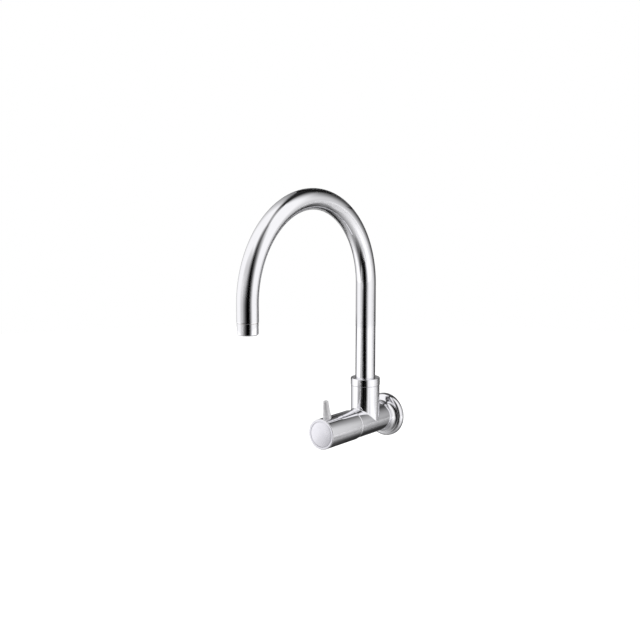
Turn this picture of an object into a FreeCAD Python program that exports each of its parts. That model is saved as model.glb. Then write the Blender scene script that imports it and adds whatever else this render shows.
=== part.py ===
"""Wall-mounted kitchen faucet: a quarter-turn valve in a tee, with a swan-neck swivel spout.

The origin is on the wall, at the middle of the wall flange's back face. +Y points into the
wall, +Z is up and the faucet reaches out along -Y. The valve lies on the Y axis, and the spout
swivels about the riser axis, which is parallel to Z and RiserOffset in front of the wall.
Lengths are in millimetres and angles in degrees.
"""
import FreeCAD, Part

import math
import os
import re

import Sketcher

os.makedirs("parts", exist_ok=True)
doc = FreeCAD.newDocument("WallFaucet")

# Driving dimensions: name, value, what it measures

SIZES = [
    ("RiserOffset", 41.5, "wall to the riser axis"),
    ("RunningClearance", 0.05, "radial gap of a shaft that turns in its bore"),
    ("SeatClearance", 0.05, "gap between two fixed pieces that are assembled by hand"),
    ("SealClearance", 0.02, "gap left at each side of a rubber ring"),
    ("ShadowGap", 0.25, "visible seam between two chromed pieces"),
    ("Overrun", 5, "how far a cut or a blank runs past the face that bounds it"),
    # tee
    ("BarrelDiameter", 32, "outside of the horizontal barrel"),
    ("BarrelReach", 26.4, "riser axis to the barrel's front face"),
    ("BarrelEdge", 0.4, "chamfer round the barrel's front face"),
    ("SocketHeight", 41, "barrel axis to the socket's top face"),
    ("SocketWall", 2.4, "wall of the socket round the collar's thread"),
    ("CrossingFillet", 1.2, "cast rounding where the socket meets the barrel"),
    ("SocketThreadDepth", 13, "socket's top face to the ledge for the lower glide ring"),
    ("SocketBore", 20, "bore that the spout's ferrule turns in"),
    ("SocketBoreDepth", 11.5, "ledge to the bore's floor"),
    ("BoreLeadIn", 0.8, "chamfer at the mouth of the socket bore"),
    ("RiserPort", 14, "water way from the valve chamber to the socket"),
    ("ChamberDiameter", 24, "valve chamber in the barrel"),
    ("HeadThreadStep", 0.5, "chamber's wall up to the thread that takes the valve head"),
    ("HeadThreadDepth", 10, "length of that thread"),
    ("SeatSetback", 12, "valve seat behind the riser axis"),
    ("InletBore", 13, "water way through the tail"),
    ("TailDiameter", 20.955, "major diameter of the half inch pipe thread on the tail"),
    ("TailLength", 18, "tail behind the wall face"),
    ("TailChamfer", 1.2, "chamfer at the tail's end"),
    ("TailShoulder", 8, "wall to the shoulder where the tail starts"),
    # wall flange
    ("FlangeDiameter", 49, "rim of the wall flange"),
    ("FlangeRimWidth", 4.3, "straight part of the rim"),
    ("FlangeLipRadius", 2.5, "rounding of the rim's front edge"),
    ("FlangeNeckLength", 2, "straight neck in front of the flare"),
    ("FlangeWall", 1.4, "wall thickness of the flange"),
    ("SpigotStep", 1.5, "barrel's outside down to the spigot that carries the flange"),
    ("FlangeRingGroove", 2, "width of the ring groove in the spigot"),
    ("FlangeRingDepth", 1.7, "depth of the ring groove in the spigot"),
    ("GasketThickness", 2, "wall gasket inside the rim"),
    ("GasketWidth", 4.5, "radial width of the wall gasket"),
    # collar and swivel
    ("CollarStep", 0.3, "socket's outside up to the collar's"),
    ("CollarHeight", 8.6, "visible height of the collar"),
    ("CollarEdge", 0.8, "rounding of the collar's top edge"),
    ("CollarGap", 0.25, "gap between the collar and the turning tube"),
    ("GlideThickness", 1.2, "thickness of the nylon glide rings"),
    ("SwivelPlay", 0.06, "axial gap at each glide ring"),
    ("FerruleFlangeStep", 2.1, "tube's outside up to that of the flange that the collar traps"),
    ("FerruleFlangeGap", 0.4, "radial gap round that flange"),
    ("FerruleFlangeThickness", 3, "thickness of that flange"),
    ("FerruleBore", 14, "water way through the ferrule"),
    ("FerruleSpigotLength", 8, "part of the ferrule brazed inside the tube"),
    ("FerruleEndGap", 0.6, "ferrule's lower end above the floor of its bore"),
    ("FerruleRingDepth", 1.7, "depth of the ferrule's ring grooves"),
    ("FerruleRingGroove", 2.2, "width of the ferrule's ring grooves"),
    ("FerruleUpperRing", 4, "ledge to the upper ring groove"),
    ("FerruleLowerRing", 8.5, "ledge to the lower ring groove"),
    ("FerruleLeadIn", 0.7, "chamfer at the ferrule's lower end"),
    # spout
    ("TubeDiameter", 22, "outside of the spout tube"),
    ("TubeWall", 1.5, "wall of the spout tube"),
    ("ArchRadius", 98, "centre line of the swan neck"),
    ("ArchHeight", 153.7, "barrel axis to the springing of the arch"),
    ("OutletDrop", 17.35, "springing of the arch to the tube's end"),
    ("NozzleStep", 0.3, "tube's outside down to the aerator shell's"),
    ("NozzleLength", 12, "height of the aerator shell"),
    ("NozzleChamfer", 0.9, "chamfer round the mouth"),
    ("NozzleWall", 0.9, "wall of the aerator shell at its thread"),
    ("NozzleLip", 1, "thickness of the lip that holds the insert"),
    ("NozzleLipWidth", 2.3, "width of that lip"),
    ("OutletFittingWall", 1.65, "wall of the outlet fitting inside the tube"),
    ("OutletFittingLength", 8, "part of the outlet fitting brazed inside the tube"),
    ("InsertThickness", 2.9, "honeycomb insert of the aerator"),
    ("ScreenThickness", 0.5, "screen on top of the insert"),
    ("AeratorWasherThickness", 1.1, "rubber washer on top of the screen"),
    ("CellWidth", 1.9, "across the flats of a honeycomb cell"),
    ("CellPitch", 2.35, "spacing of the honeycomb cells"),
    ("ScreenCellWidth", 1.3, "across the flats of a hole in the screen"),
    # valve head
    ("HeadWall", 1.4, "wall of the valve head round the discs"),
    ("HeadBore", 16.2, "bore that holds the discs"),
    ("HeadBoreDepth", 21.2, "depth of that bore"),
    ("HeadSetback", 0.4, "valve head's rear end in front of the seat"),
    ("HeadLandLength", 5, "sealing land behind the thread"),
    ("HeadRingGroove", 2.2, "width of the ring groove in the land"),
    ("HeadRingDepth", 1.6, "depth of the ring groove in the land"),
    ("HexGap", 0.465, "gap round the corners of the valve head's hexagon"),
    ("HexThickness", 4, "thickness of the hexagon"),
    ("NeckDiameter", 17, "neck in front of the hexagon"),
    ("NeckLength", 4.6, "length of the neck"),
    ("WindowStart", 10.4, "seat to the rear edge of the side windows"),
    ("WindowLength", 7, "length of the side windows"),
    ("WindowWidth", 9, "width of the side windows"),
    ("SealThickness", 3.4, "rubber seat seal"),
    ("SealBore", 11.8, "opening of the seat seal"),
    ("DiscClearance", 0.1, "gap round the fixed ceramic disc"),
    ("MovingDiscClearance", 0.3, "gap round the moving ceramic disc"),
    ("DiscThickness", 3, "thickness of each ceramic disc"),
    ("PortInnerRadius", 1.9, "inner edge of the disc ports"),
    ("PortOuterRadius", 5.7, "outer edge of the disc ports"),
    ("PortHalfAngle", 40, "half the angle of a disc port"),
    ("KeyWidth", 2.6, "keys that hold or drive the discs"),
    ("KeyDepth", 1.2, "depth of a disc's key notches"),
    # spindle
    ("FootThickness", 2.5, "foot that drives the moving disc"),
    ("TabLength", 2, "length of the foot's drive tabs"),
    ("WaistDiameter", 8, "waist between the foot and the thrust collar"),
    ("ThrustDiameter", 13, "thrust collar"),
    ("ThrustThickness", 1.5, "thickness of the thrust collar"),
    ("GlideWasherThickness", 1, "slippery washer in front of the thrust collar"),
    ("JournalDiameter", 10, "part of the spindle that turns in the neck"),
    ("SpindleRingDepth", 1.4, "depth of the spindle's ring grooves"),
    ("SpindleRingGroove", 1.9, "width of the spindle's ring grooves"),
    ("SpindleRearRing", 4.3, "thrust step to the rear ring groove"),
    ("SpindleFrontRing", 9.8, "thrust step to the front ring groove"),
    ("FlattedDiameter", 8.8, "flatted part that carries the stop washer"),
    ("FlattedWidth", 7.4, "across the two flats"),
    ("FlattedLength", 4, "length of the flatted part"),
    ("SplineDiameter", 8, "over the splines"),
    ("SplineLength", 9.2, "length of the splines and of their insert"),
    ("SplineDepth", 0.45, "depth of a spline groove"),
    ("SplineWidth", 0.75, "width of a spline groove"),
    ("SplineCount", 20, "number of splines"),
    ("StopThickness", 1.9, "stop washer and stop blocks"),
    ("StopRingRadius", 6.1, "ring of the stop washer"),
    ("StopOuterRadius", 8.3, "reach of the washer's lugs and of the blocks"),
    ("StopLugAngle", 40, "angle that a lug takes"),
    ("TurnAngle", 90, "travel of the handle"),
    ("StopPlayAngle", 0.5, "play left at each end of the travel"),
    ("ClipThickness", 0.8, "spring clip in front of the stop washer"),
    ("ClipOuterRadius", 5.8, "outside of the spring clip"),
    ("ClipGrooveRadius", 3.5, "groove that holds the spring clip"),
    ("ClipGapAngle", 70, "opening of the spring clip"),
    # knob
    ("KnobDiameter", 33.4, "outside of the knob"),
    ("KnobGap", 0.3, "gap between the tee and the knob"),
    ("KnobReach", 80, "riser axis to the knob's front rim"),
    ("KnobEdge", 0.8, "rounding of the knob's front edge"),
    ("KnobRearEdge", 0.3, "chamfer of the knob's rear edge"),
    ("KnobRearWall", 1.8, "wall of the knob round the hexagon"),
    ("KnobStepGap", 0.6, "hexagon to the step inside the knob"),
    ("GuideDiameter", 23.9, "nylon ring that centres the knob"),
    ("GuideLength", 3, "length of the nylon ring"),
    ("GuideSetback", 0.9, "hexagon to the nylon ring"),
    ("WebGap", 0.2, "spindle's flatted part to the web inside the knob"),
    ("WebPlate", 2.6, "plate of the web in front of the spline insert"),
    ("InsertFlats", 12, "across the flats of the spline insert"),
    ("KnobRimWidth", 2.8, "rim of the knob round the front cap"),
    ("CapLedge", 1.1, "ledge under the front cap's edge"),
    ("CapThickness", 2.4, "edge of the front cap"),
    ("CapDome", 0.6, "crown of the front cap"),
    ("CapPlate", 1.2, "thickness of the plate under the crown"),
    ("CapSkirtLength", 5, "skirt behind the front cap"),
    ("CapSkirtWall", 2.6, "wall of the skirt"),
    ("CapRingDepth", 1.2, "depth of the skirt's ring groove"),
    ("CapRingGroove", 1.7, "width of the skirt's ring groove"),
    ("ScrewDiameter", 4, "thread of the handle screw"),
    ("ScrewHeadDiameter", 7, "head of the handle screw"),
    ("ScrewHeadHeight", 2.6, "height of that head"),
    ("ScrewHeadEdge", 0.3, "chamfer round that head"),
    ("ScrewHoleDiameter", 4.6, "hole for the screw in the knob's web"),
    ("ScrewLength", 13, "length under the head"),
    ("ScrewSocket", 2.5, "hexagon socket in the head"),
    ("ScrewSocketDepth", 1.5, "depth of that socket"),
    ("ScrewHoleDepth", 14, "threaded hole in the spindle"),
    # lever
    ("LeverSetback", 10.7, "knob's front rim to the foot of the lever pin"),
    ("LeverRise", 19.2, "knob's side to the tip of the lever pin"),
    ("LeverLean", 7.5, "forward lean of the lever pin"),
    ("LeverFootRadius", 4.5, "flared foot"),
    ("LeverFootEdge", 0.6, "straight edge round the foot"),
    ("LeverFlareRadius", 26, "hollow curve above the foot"),
    ("LeverShaftRadius", 2.85, "shaft above the flare"),
    ("LeverTipRadius", 2.15, "shaft at the tip"),
    ("LeverTipCrown", 1.2, "height of the rounded tip"),
    ("LeverFlareHeight", 8.5, "knob to the top of the flare"),
    ("LeverStubRadius", 2, "threaded stub in the knob's wall"),
]

sheet = doc.addObject("Spreadsheet::Sheet", "Sizes")
for row, (alias, value, meaning) in enumerate(SIZES, start=1):
    sheet.set(f"A{row}", alias)
    sheet.set(f"B{row}", str(value))
    sheet.set(f"C{row}", meaning)
    sheet.setAlias(f"B{row}", alias)
doc.recompute()

# Places along the barrel axis, as distances in front of the wall

SEAT = "(RiserOffset - SeatSetback)"
FIXED_DISC = f"({SEAT} + SealThickness)"
MOVING_DISC = f"({FIXED_DISC} + DiscThickness)"
FOOT = f"({MOVING_DISC} + DiscThickness)"
THRUST_STEP = f"({SEAT} + HeadBoreDepth)"
THRUST_FRONT = f"({THRUST_STEP} - GlideWasherThickness - 2 * SwivelPlay)"
TEE_FRONT = "(RiserOffset + BarrelReach)"
FLANGE_CREST = "(FlangeRimWidth + FlangeLipRadius)"
FLARE = "(FlangeDiameter / 2 - FlangeLipRadius - BarrelDiameter / 2)"
FLANGE_FRONT = f"({FLANGE_CREST} + {FLARE} + FlangeNeckLength)"
FLANGE_RING = f"((TailShoulder + {FLANGE_FRONT}) / 2)"
SPIGOT_RADIUS = "(BarrelDiameter / 2 - SpigotStep)"
HEAD_THREAD_RADIUS = "(ChamberDiameter / 2 + HeadThreadStep)"
HEX_FRONT = f"({TEE_FRONT} + HexThickness)"
NECK_END = f"({HEX_FRONT} + NeckLength)"
STOP_FRONT = f"({NECK_END} + SwivelPlay + StopThickness)"
FLATTED_END = f"({NECK_END} + FlattedLength)"
SPINDLE_END = f"({FLATTED_END} + SplineLength)"
KNOB_REAR = f"({TEE_FRONT} + KnobGap)"
KNOB_STEP = f"({HEX_FRONT} + KnobStepGap)"
KNOB_FRONT = "(RiserOffset + KnobReach)"
WEB_REAR = f"({FLATTED_END} + WebGap)"
WEB_FRONT = f"({WEB_REAR} + SplineLength + WebPlate)"
CAP_REAR = f"({KNOB_FRONT} - CapThickness)"

# Heights on the riser axis and on the outlet axis

LEDGE = "(SocketHeight - SocketThreadDepth)"
BORE_FLOOR = f"({LEDGE} - SocketBoreDepth)"
GLIDE_TOP = f"({LEDGE} + GlideThickness)"
FERRULE_FLANGE = f"({GLIDE_TOP} + SwivelPlay)"
TUBE_FOOT = f"({FERRULE_FLANGE} + FerruleFlangeThickness)"
UPPER_GLIDE = f"({TUBE_FOOT} + SwivelPlay)"
COLLAR_FOOT = f"({UPPER_GLIDE} + GlideThickness)"
COLLAR_TOP = "(SocketHeight + CollarHeight)"
TUBE_END = "(ArchHeight - OutletDrop)"
NOZZLE_TOP = f"({TUBE_END} - ShadowGap)"
MOUTH = f"({NOZZLE_TOP} - NozzleLength)"
INSERT_FOOT = f"({MOUTH} + NozzleLip)"
SCREEN_FOOT = f"({INSERT_FOOT} + InsertThickness)"
AERATOR_WASHER_FOOT = f"({SCREEN_FOOT} + ScreenThickness)"
FITTING_FOOT = f"({AERATOR_WASHER_FOOT} + AeratorWasherThickness)"
TUBE_BORE_RADIUS = "(TubeDiameter / 2 - TubeWall)"
FERRULE_FLANGE_RADIUS = "(TubeDiameter / 2 + FerruleFlangeStep)"
SOCKET_THREAD_RADIUS = f"({FERRULE_FLANGE_RADIUS} + FerruleFlangeGap)"
SOCKET_RADIUS = f"({SOCKET_THREAD_RADIUS} + SocketWall)"
KNOB_REAR_RADIUS = "(KnobDiameter / 2 - KnobRearWall)"
HEX_FLATS = f"(({KNOB_REAR_RADIUS} - HexGap) * sqrt(3))"
CAP_RADIUS = "(KnobDiameter / 2 - KnobRimWidth)"
KNOB_FRONT_RADIUS = f"({CAP_RADIUS} - CapLedge)"
DISC_RADIUS = "(HeadBore / 2 - DiscClearance)"
MOVING_DISC_RADIUS = "(HeadBore / 2 - MovingDiscClearance)"
NOZZLE_RADIUS = "(TubeDiameter / 2 - NozzleStep)"
NOZZLE_BORE_RADIUS = f"({NOZZLE_RADIUS} - NozzleWall)"
FITTING_BORE_RADIUS = f"({TUBE_BORE_RADIUS} - SeatClearance - OutletFittingWall)"

ON_SURFACE = 0.001  # how close to a surface, in mm, the points of an edge on it lie
EDGE_SAMPLES = 5  # points that are tested on an edge
MIRRORED = {"left": "right", "right": "left"}
NAME = re.compile(r"\b([A-Z]\w+)\b")


def bound(expression):
    """Give an expression in the sheet's names the form that another object reads."""
    return NAME.sub(r"Sizes.\1", expression)


def number(expression):
    """Work out an expression in the sheet's names."""
    return float(sheet.evalExpression(expression))


def minus(expression):
    return f"-({expression})"


# Bodies, sketches and features

AT_WALL = ("0", "0")
AT_RISER = ("0", "-RiserOffset")
AT_OUTLET = ("0", "-(RiserOffset + 2 * ArchRadius)")

pieces = []


def new_piece(label, place=AT_WALL):
    """Start a sub-part as a body whose local Z axis stands at the given place."""
    body = doc.addObject("PartDesign::Body", label)
    body.Label = label
    for axis, expression in zip("xy", place):
        if expression != "0":
            body.setExpression(f"Placement.Base.{axis}", bound(expression))
    pieces.append(body)
    return body


def origin_feature(body, role):
    return next(item for item in body.Origin.OriginFeatures if item.Role == role)


def new_sketch(body, name, role, offset=None):
    """Attach a sketch to an origin plane of its body, moved along the plane's normal."""
    sketch = body.newObject("Sketcher::SketchObject", name)
    sketch.AttachmentSupport = [(origin_feature(body, role), "")]
    sketch.MapMode = "FlatFace"
    if offset is not None:
        sketch.setExpression("AttachmentOffset.Base.z", bound(offset))
    return sketch


def fix(sketch, kind, geometry, point, expression):
    """Hold one coordinate of a point, measured from the sketch's origin."""
    value = number(expression)
    index = sketch.addConstraint(Sketcher.Constraint(kind, -1, 1, geometry, point, value))
    if NAME.search(expression):
        sketch.setExpression(f"Constraints[{index}]", bound(expression))


def arc_between(start, end, radius, turn):
    """Make the arc from start to end whose centre is on the left or on the right."""
    chord = end - start
    height = math.sqrt(max(radius ** 2 - (chord.Length / 2) ** 2, 0))
    side = FreeCAD.Vector(-chord.y, chord.x, 0).normalize()
    centre = (start + end) * 0.5 + side * (height if turn == "left" else -height)
    first, last = (start, end) if turn == "left" else (end, start)
    angles = [math.atan2(p.y - centre.y, p.x - centre.x) for p in (first, last)]
    return Part.ArcOfCircle(Part.Circle(centre, FreeCAD.Vector(0, 0, 1), radius), *angles)


def outline(sketch, corners):
    """Draw a closed outline.

    A corner is (x, y), and an arc to the next corner adds its radius and the side, left or
    right, on which its centre lies.
    """
    points = [FreeCAD.Vector(number(c[0]), number(c[1]), 0) for c in corners]
    ends = []
    for index, corner in enumerate(corners):
        start = points[index]
        end = points[(index + 1) % len(points)]
        if len(corner) == 2:
            edge = sketch.addGeometry(Part.LineSegment(start, end))
            ends.append((edge, 1, 2))
        else:
            edge = sketch.addGeometry(arc_between(start, end, number(corner[2]), corner[3]))
            ends.append((edge, 1, 2) if corner[3] == "left" else (edge, 2, 1))
    for index, (edge, _, last) in enumerate(ends):
        following, first, _ = ends[(index + 1) % len(ends)]
        sketch.addConstraint(Sketcher.Constraint("Coincident", edge, last, following, first))
    for (edge, first, _), corner in zip(ends, corners):
        fix(sketch, "DistanceX", edge, first, corner[0])
        fix(sketch, "DistanceY", edge, first, corner[1])
        if len(corner) == 4:
            radius = sketch.addConstraint(
                Sketcher.Constraint("Radius", edge, number(corner[2])))
            sketch.setExpression(f"Constraints[{radius}]", bound(corner[2]))


def circle(sketch, radius, centre=("0", "0")):
    place = FreeCAD.Vector(number(centre[0]), number(centre[1]), 0)
    edge = sketch.addGeometry(
        Part.Circle(place, FreeCAD.Vector(0, 0, 1), number(radius)))
    fix(sketch, "DistanceX", edge, 3, centre[0])
    fix(sketch, "DistanceY", edge, 3, centre[1])
    index = sketch.addConstraint(Sketcher.Constraint("Radius", edge, number(radius)))
    sketch.setExpression(f"Constraints[{index}]", bound(radius))


def hexagon(sketch, flats, centre=("0", "0")):
    """Draw a hexagon across its flats, with two corners left and right of its centre."""
    corner = f"({flats} / sqrt(3))"
    outline(sketch, [(f"{centre[0]} + {corner} * cos({60 * k})",
                      f"{centre[1]} + {corner} * sin({60 * k})") for k in range(6)])


def sector(sketch, inner, outer, middle, half_angle):
    """Draw a ring sector: two arcs about the origin and two radial ends."""
    low = f"({middle} - {half_angle})"
    high = f"({middle} + {half_angle})"
    outline(sketch, [
        (f"{inner} * cos({low})", f"{inner} * sin({low})"),
        (f"{outer} * cos({low})", f"{outer} * sin({low})", outer, "left"),
        (f"{outer} * cos({high})", f"{outer} * sin({high})"),
        (f"{inner} * cos({high})", f"{inner} * sin({high})", inner, "right"),
    ])


def rectangle(sketch, low, high):
    outline(sketch, [(low[0], low[1]), (high[0], low[1]), (high[0], high[1]), (low[0], high[1])])


def along_barrel(corners):
    """Turn (distance from the wall, radius) into coordinates of the YZ plane.

    That plane sees the outline mirrored, so an arc's centre changes sides.
    """
    return [(minus(c[0]), *(MIRRORED.get(item, item) for item in c[1:])) for c in corners]


def spin(body, name, corners, kind="Revolution", axis="H_Axis"):
    """Turn an outline in the YZ plane about the barrel axis or the upright axis."""
    sketch = new_sketch(body, f"{name}Outline", "YZ_Plane")
    outline(sketch, corners)
    feature = body.newObject(f"PartDesign::{kind}", name)
    feature.Profile = sketch
    feature.ReferenceAxis = (sketch, [axis])
    feature.Angle = 360
    return feature


def spin_about(body, name, corners, line, kind="Revolution"):
    """Turn an outline in the YZ plane about the line between two points of that plane."""
    sketch = new_sketch(body, f"{name}Outline", "YZ_Plane")
    outline(sketch, corners)
    ends = [FreeCAD.Vector(number(y), number(z), 0) for y, z in line]
    axis = sketch.addGeometry(Part.LineSegment(*ends), True)
    for point, place in zip((1, 2), line):
        fix(sketch, "DistanceX", axis, point, place[0])
        fix(sketch, "DistanceY", axis, point, place[1])
    feature = body.newObject(f"PartDesign::{kind}", name)
    feature.Profile = sketch
    feature.ReferenceAxis = (sketch, ["Axis0"])
    feature.Angle = 360
    return feature


def turned(label, corners):
    """Make a piece that is turned about the barrel axis from (distance, radius) corners."""
    body = new_piece(label)
    spin(body, "Turned", along_barrel(corners))
    return body


def upright(label, place, corners):
    """Make a piece that is turned about an upright axis from (radius, height) corners."""
    body = new_piece(label, place)
    spin(body, "Turned", corners, axis="V_Axis")
    return body


def pad(body, name, sketch, length):
    feature = body.newObject("PartDesign::Pad", name)
    feature.Profile = sketch
    feature.setExpression("Length", bound(length))
    return feature


def pocket(body, name, sketch, length):
    """Cut against the sketch's normal, and refuse a cut that removes nothing."""
    doc.recompute()
    before = body.Shape.Volume
    feature = body.newObject("PartDesign::Pocket", name)
    feature.Profile = sketch
    feature.setExpression("Length", bound(length))
    doc.recompute()
    if feature.Shape.isNull() or feature.Shape.Volume >= before:
        raise RuntimeError(f"{body.Label}: {name} cuts nothing")
    return feature


def around(body, name, feature, axis, count):
    """Repeat a feature in a full circle about an origin axis."""
    pattern = body.newObject("PartDesign::PolarPattern", name)
    pattern.Originals = [feature]
    pattern.Axis = (origin_feature(body, axis), [""])
    pattern.Angle = 360
    pattern.Occurrences = count
    body.Tip = pattern
    return pattern


def rings(label, places, groove_radius, bore_radius, axis="H_Axis", place=AT_WALL):
    """Make round rubber rings, one for each place, between a groove and a bore."""
    body = new_piece(label, place)
    section = f"(({bore_radius} - {groove_radius}) / 2 - SealClearance)"
    middle = f"(({bore_radius} + {groove_radius}) / 2)"
    for index, where in enumerate(places, start=1):
        sketch = new_sketch(body, f"Ring{index}Section", "YZ_Plane")
        centre = (minus(where), middle) if axis == "H_Axis" else (middle, where)
        circle(sketch, section, centre)
        feature = body.newObject("PartDesign::Revolution", f"Ring{index}")
        feature.Profile = sketch
        feature.ReferenceAxis = (sketch, [axis])
        feature.Angle = 360
    return body


def groove(middle, width, radius, depth):
    """Give the four corners of a ring groove in an outline."""
    low = f"({middle} - {width} / 2)"
    high = f"({middle} + {width} / 2)"
    floor = f"({radius} - {depth})"
    return [(low, radius), (low, floor), (high, floor), (high, radius)]


# Tee

def make_tee():
    """The cast tee: barrel, tail and socket, bored for the valve head and for the spout."""
    barrel = "(BarrelDiameter / 2)"
    body = turned("tee_body", [
        (minus("TailLength"), "0"),
        (minus("TailLength"), "TailDiameter / 2 - TailChamfer"),
        ("TailChamfer - TailLength", "TailDiameter / 2"),
        ("TailShoulder", "TailDiameter / 2"),
        ("TailShoulder", SPIGOT_RADIUS),
        *groove(FLANGE_RING, "FlangeRingGroove", SPIGOT_RADIUS, "FlangeRingDepth"),
        (f"{FLANGE_FRONT} + SeatClearance", SPIGOT_RADIUS),
        (f"{FLANGE_FRONT} + SeatClearance", barrel),
        (f"{TEE_FRONT} - BarrelEdge", barrel),
        (TEE_FRONT, f"{barrel} - BarrelEdge"),
        (TEE_FRONT, "0"),
    ])
    socket = new_sketch(body, "SocketCircle", "XY_Plane")
    circle(socket, SOCKET_RADIUS, ("0", "-RiserOffset"))
    blank = pad(body, "Socket", socket, "SocketHeight")
    round_crossing(body, blank, number(SOCKET_RADIUS), number(barrel))
    spin(body, "ValveBore", along_barrel([
        (f"{TEE_FRONT} + Overrun", "0"),
        (f"{TEE_FRONT} + Overrun", HEAD_THREAD_RADIUS),
        (f"{TEE_FRONT} - HeadThreadDepth", HEAD_THREAD_RADIUS),
        (f"{TEE_FRONT} - HeadThreadDepth", "ChamberDiameter / 2"),
        (SEAT, "ChamberDiameter / 2"),
        (SEAT, "InletBore / 2"),
        (minus("TailLength + Overrun"), "InletBore / 2"),
        (minus("TailLength + Overrun"), "0"),
    ]), kind="Groove")
    bores = [
        ("0", "SocketHeight + Overrun"),
        (SOCKET_THREAD_RADIUS, "SocketHeight + Overrun"),
        (SOCKET_THREAD_RADIUS, LEDGE),
        ("SocketBore / 2 + BoreLeadIn", LEDGE),
        ("SocketBore / 2", f"{LEDGE} - BoreLeadIn"),
        ("SocketBore / 2", BORE_FLOOR),
        ("RiserPort / 2", BORE_FLOOR),
        ("RiserPort / 2", "0"),
        ("0", "0"),
    ]
    riser_axis = (("-RiserOffset", "0"), ("-RiserOffset", "SocketHeight"))
    spin_about(body, "SocketBores", [(f"{radius} - RiserOffset", height) for radius, height in bores],
               riser_axis, kind="Groove")


def round_crossing(body, blank, socket_radius, barrel_radius):
    """Round the closed line in which the socket's side meets the barrel's.

    A socket that is wider than the barrel has no such line, and its crossing stays sharp.
    """
    if socket_radius > barrel_radius:
        return
    riser = number("RiserOffset")
    line = []
    doc.recompute()
    for index, edge in enumerate(blank.Shape.Edges, start=1):
        points = edge.discretize(EDGE_SAMPLES)
        if all(abs(math.hypot(p.x, p.y + riser) - socket_radius) < ON_SURFACE
               and abs(math.hypot(p.x, p.z) - barrel_radius) < ON_SURFACE for p in points):
            line.append(f"Edge{index}")
    fillet = body.newObject("PartDesign::Fillet", "CrossingRounding")
    fillet.Base = (blank, line)
    fillet.setExpression("Radius", bound("CrossingFillet"))


def make_flange():
    """The trumpet-shaped wall flange, a turned shell with a rounded rim."""
    rim = "(FlangeDiameter / 2)"
    neck = "(BarrelDiameter / 2)"
    crest_radius = f"({rim} - FlangeLipRadius)"
    flare_end = f"({FLANGE_CREST} + {FLARE})"
    inner = f"({FLARE} + FlangeWall)"
    hub = f"({crest_radius} - sqrt({inner}^2 - ({flare_end} - TailShoulder)^2))"
    bore = f"({SPIGOT_RADIUS} + SeatClearance)"
    turned("wall_flange", [
        ("0", rim),
        ("FlangeRimWidth", rim, "FlangeLipRadius", "right"),
        (FLANGE_CREST, crest_radius, FLARE, "left"),
        (flare_end, neck),
        (FLANGE_FRONT, neck),
        (FLANGE_FRONT, bore),
        ("TailShoulder", bore),
        ("TailShoulder", hub, inner, "right"),
        (f"{FLANGE_CREST} - FlangeWall", crest_radius),
        (f"{FLANGE_CREST} - FlangeWall", f"{rim} - FlangeWall"),
        ("0", f"{rim} - FlangeWall"),
    ])
    edge = "(FlangeDiameter / 2 - FlangeWall - SeatClearance)"
    turned("wall_gasket", [
        ("0", edge),
        ("GasketThickness", edge),
        ("GasketThickness", f"{edge} - GasketWidth"),
        ("0", f"{edge} - GasketWidth"),
    ])
    rings("flange_o_ring", [FLANGE_RING], f"({SPIGOT_RADIUS} - FlangeRingDepth)", bore)


# Swivel: what holds the spout in the socket

def make_swivel():
    """The collar and the two glide rings that trap the spout's ferrule."""
    thread = f"({SOCKET_THREAD_RADIUS} - SeatClearance)"
    collar = f"({SOCKET_RADIUS} + CollarStep)"
    bore = "(TubeDiameter / 2 + CollarGap)"
    upright("spout_collar", AT_RISER, [
        (bore, COLLAR_FOOT),
        (thread, COLLAR_FOOT),
        (thread, "SocketHeight + ShadowGap"),
        (collar, "SocketHeight + ShadowGap"),
        (collar, f"{COLLAR_TOP} - CollarEdge", "CollarEdge", "left"),
        (f"{collar} - CollarEdge", COLLAR_TOP),
        (bore, COLLAR_TOP),
    ])
    for label, foot, inner in (
            ("lower_glide_ring", LEDGE, "(SocketBore / 2 + BoreLeadIn)"),
            ("upper_glide_ring", UPPER_GLIDE, bore)):
        upright(label, AT_RISER, [
            (inner, foot),
            (thread, foot),
            (thread, f"{foot} + GlideThickness"),
            (inner, f"{foot} + GlideThickness"),
        ])


def make_ferrule():
    """The turned end of the spout: a ringed journal, a trapped flange and a brazed spigot."""
    journal = "(SocketBore / 2 - RunningClearance)"
    foot = f"({BORE_FLOOR} + FerruleEndGap)"
    ring_places = [f"({LEDGE} - FerruleLowerRing)", f"({LEDGE} - FerruleUpperRing)"]
    journal_side = []
    for place in ring_places:
        for height, radius in groove(place, "FerruleRingGroove", journal, "FerruleRingDepth"):
            journal_side.append((radius, height))
    upright("spout_ferrule", AT_RISER, [
        ("FerruleBore / 2", foot),
        (f"{journal} - FerruleLeadIn", foot),
        (journal, f"{foot} + FerruleLeadIn"),
        *journal_side,
        (journal, FERRULE_FLANGE),
        (FERRULE_FLANGE_RADIUS, FERRULE_FLANGE),
        (FERRULE_FLANGE_RADIUS, TUBE_FOOT),
        (f"{TUBE_BORE_RADIUS} - SeatClearance", TUBE_FOOT),
        (f"{TUBE_BORE_RADIUS} - SeatClearance", f"{TUBE_FOOT} + FerruleSpigotLength"),
        ("FerruleBore / 2", f"{TUBE_FOOT} + FerruleSpigotLength"),
    ])
    rings("spout_o_rings", ring_places, f"({journal} - FerruleRingDepth)",
          "(SocketBore / 2)", axis="V_Axis", place=AT_RISER)


# Spout tube and outlet

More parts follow.
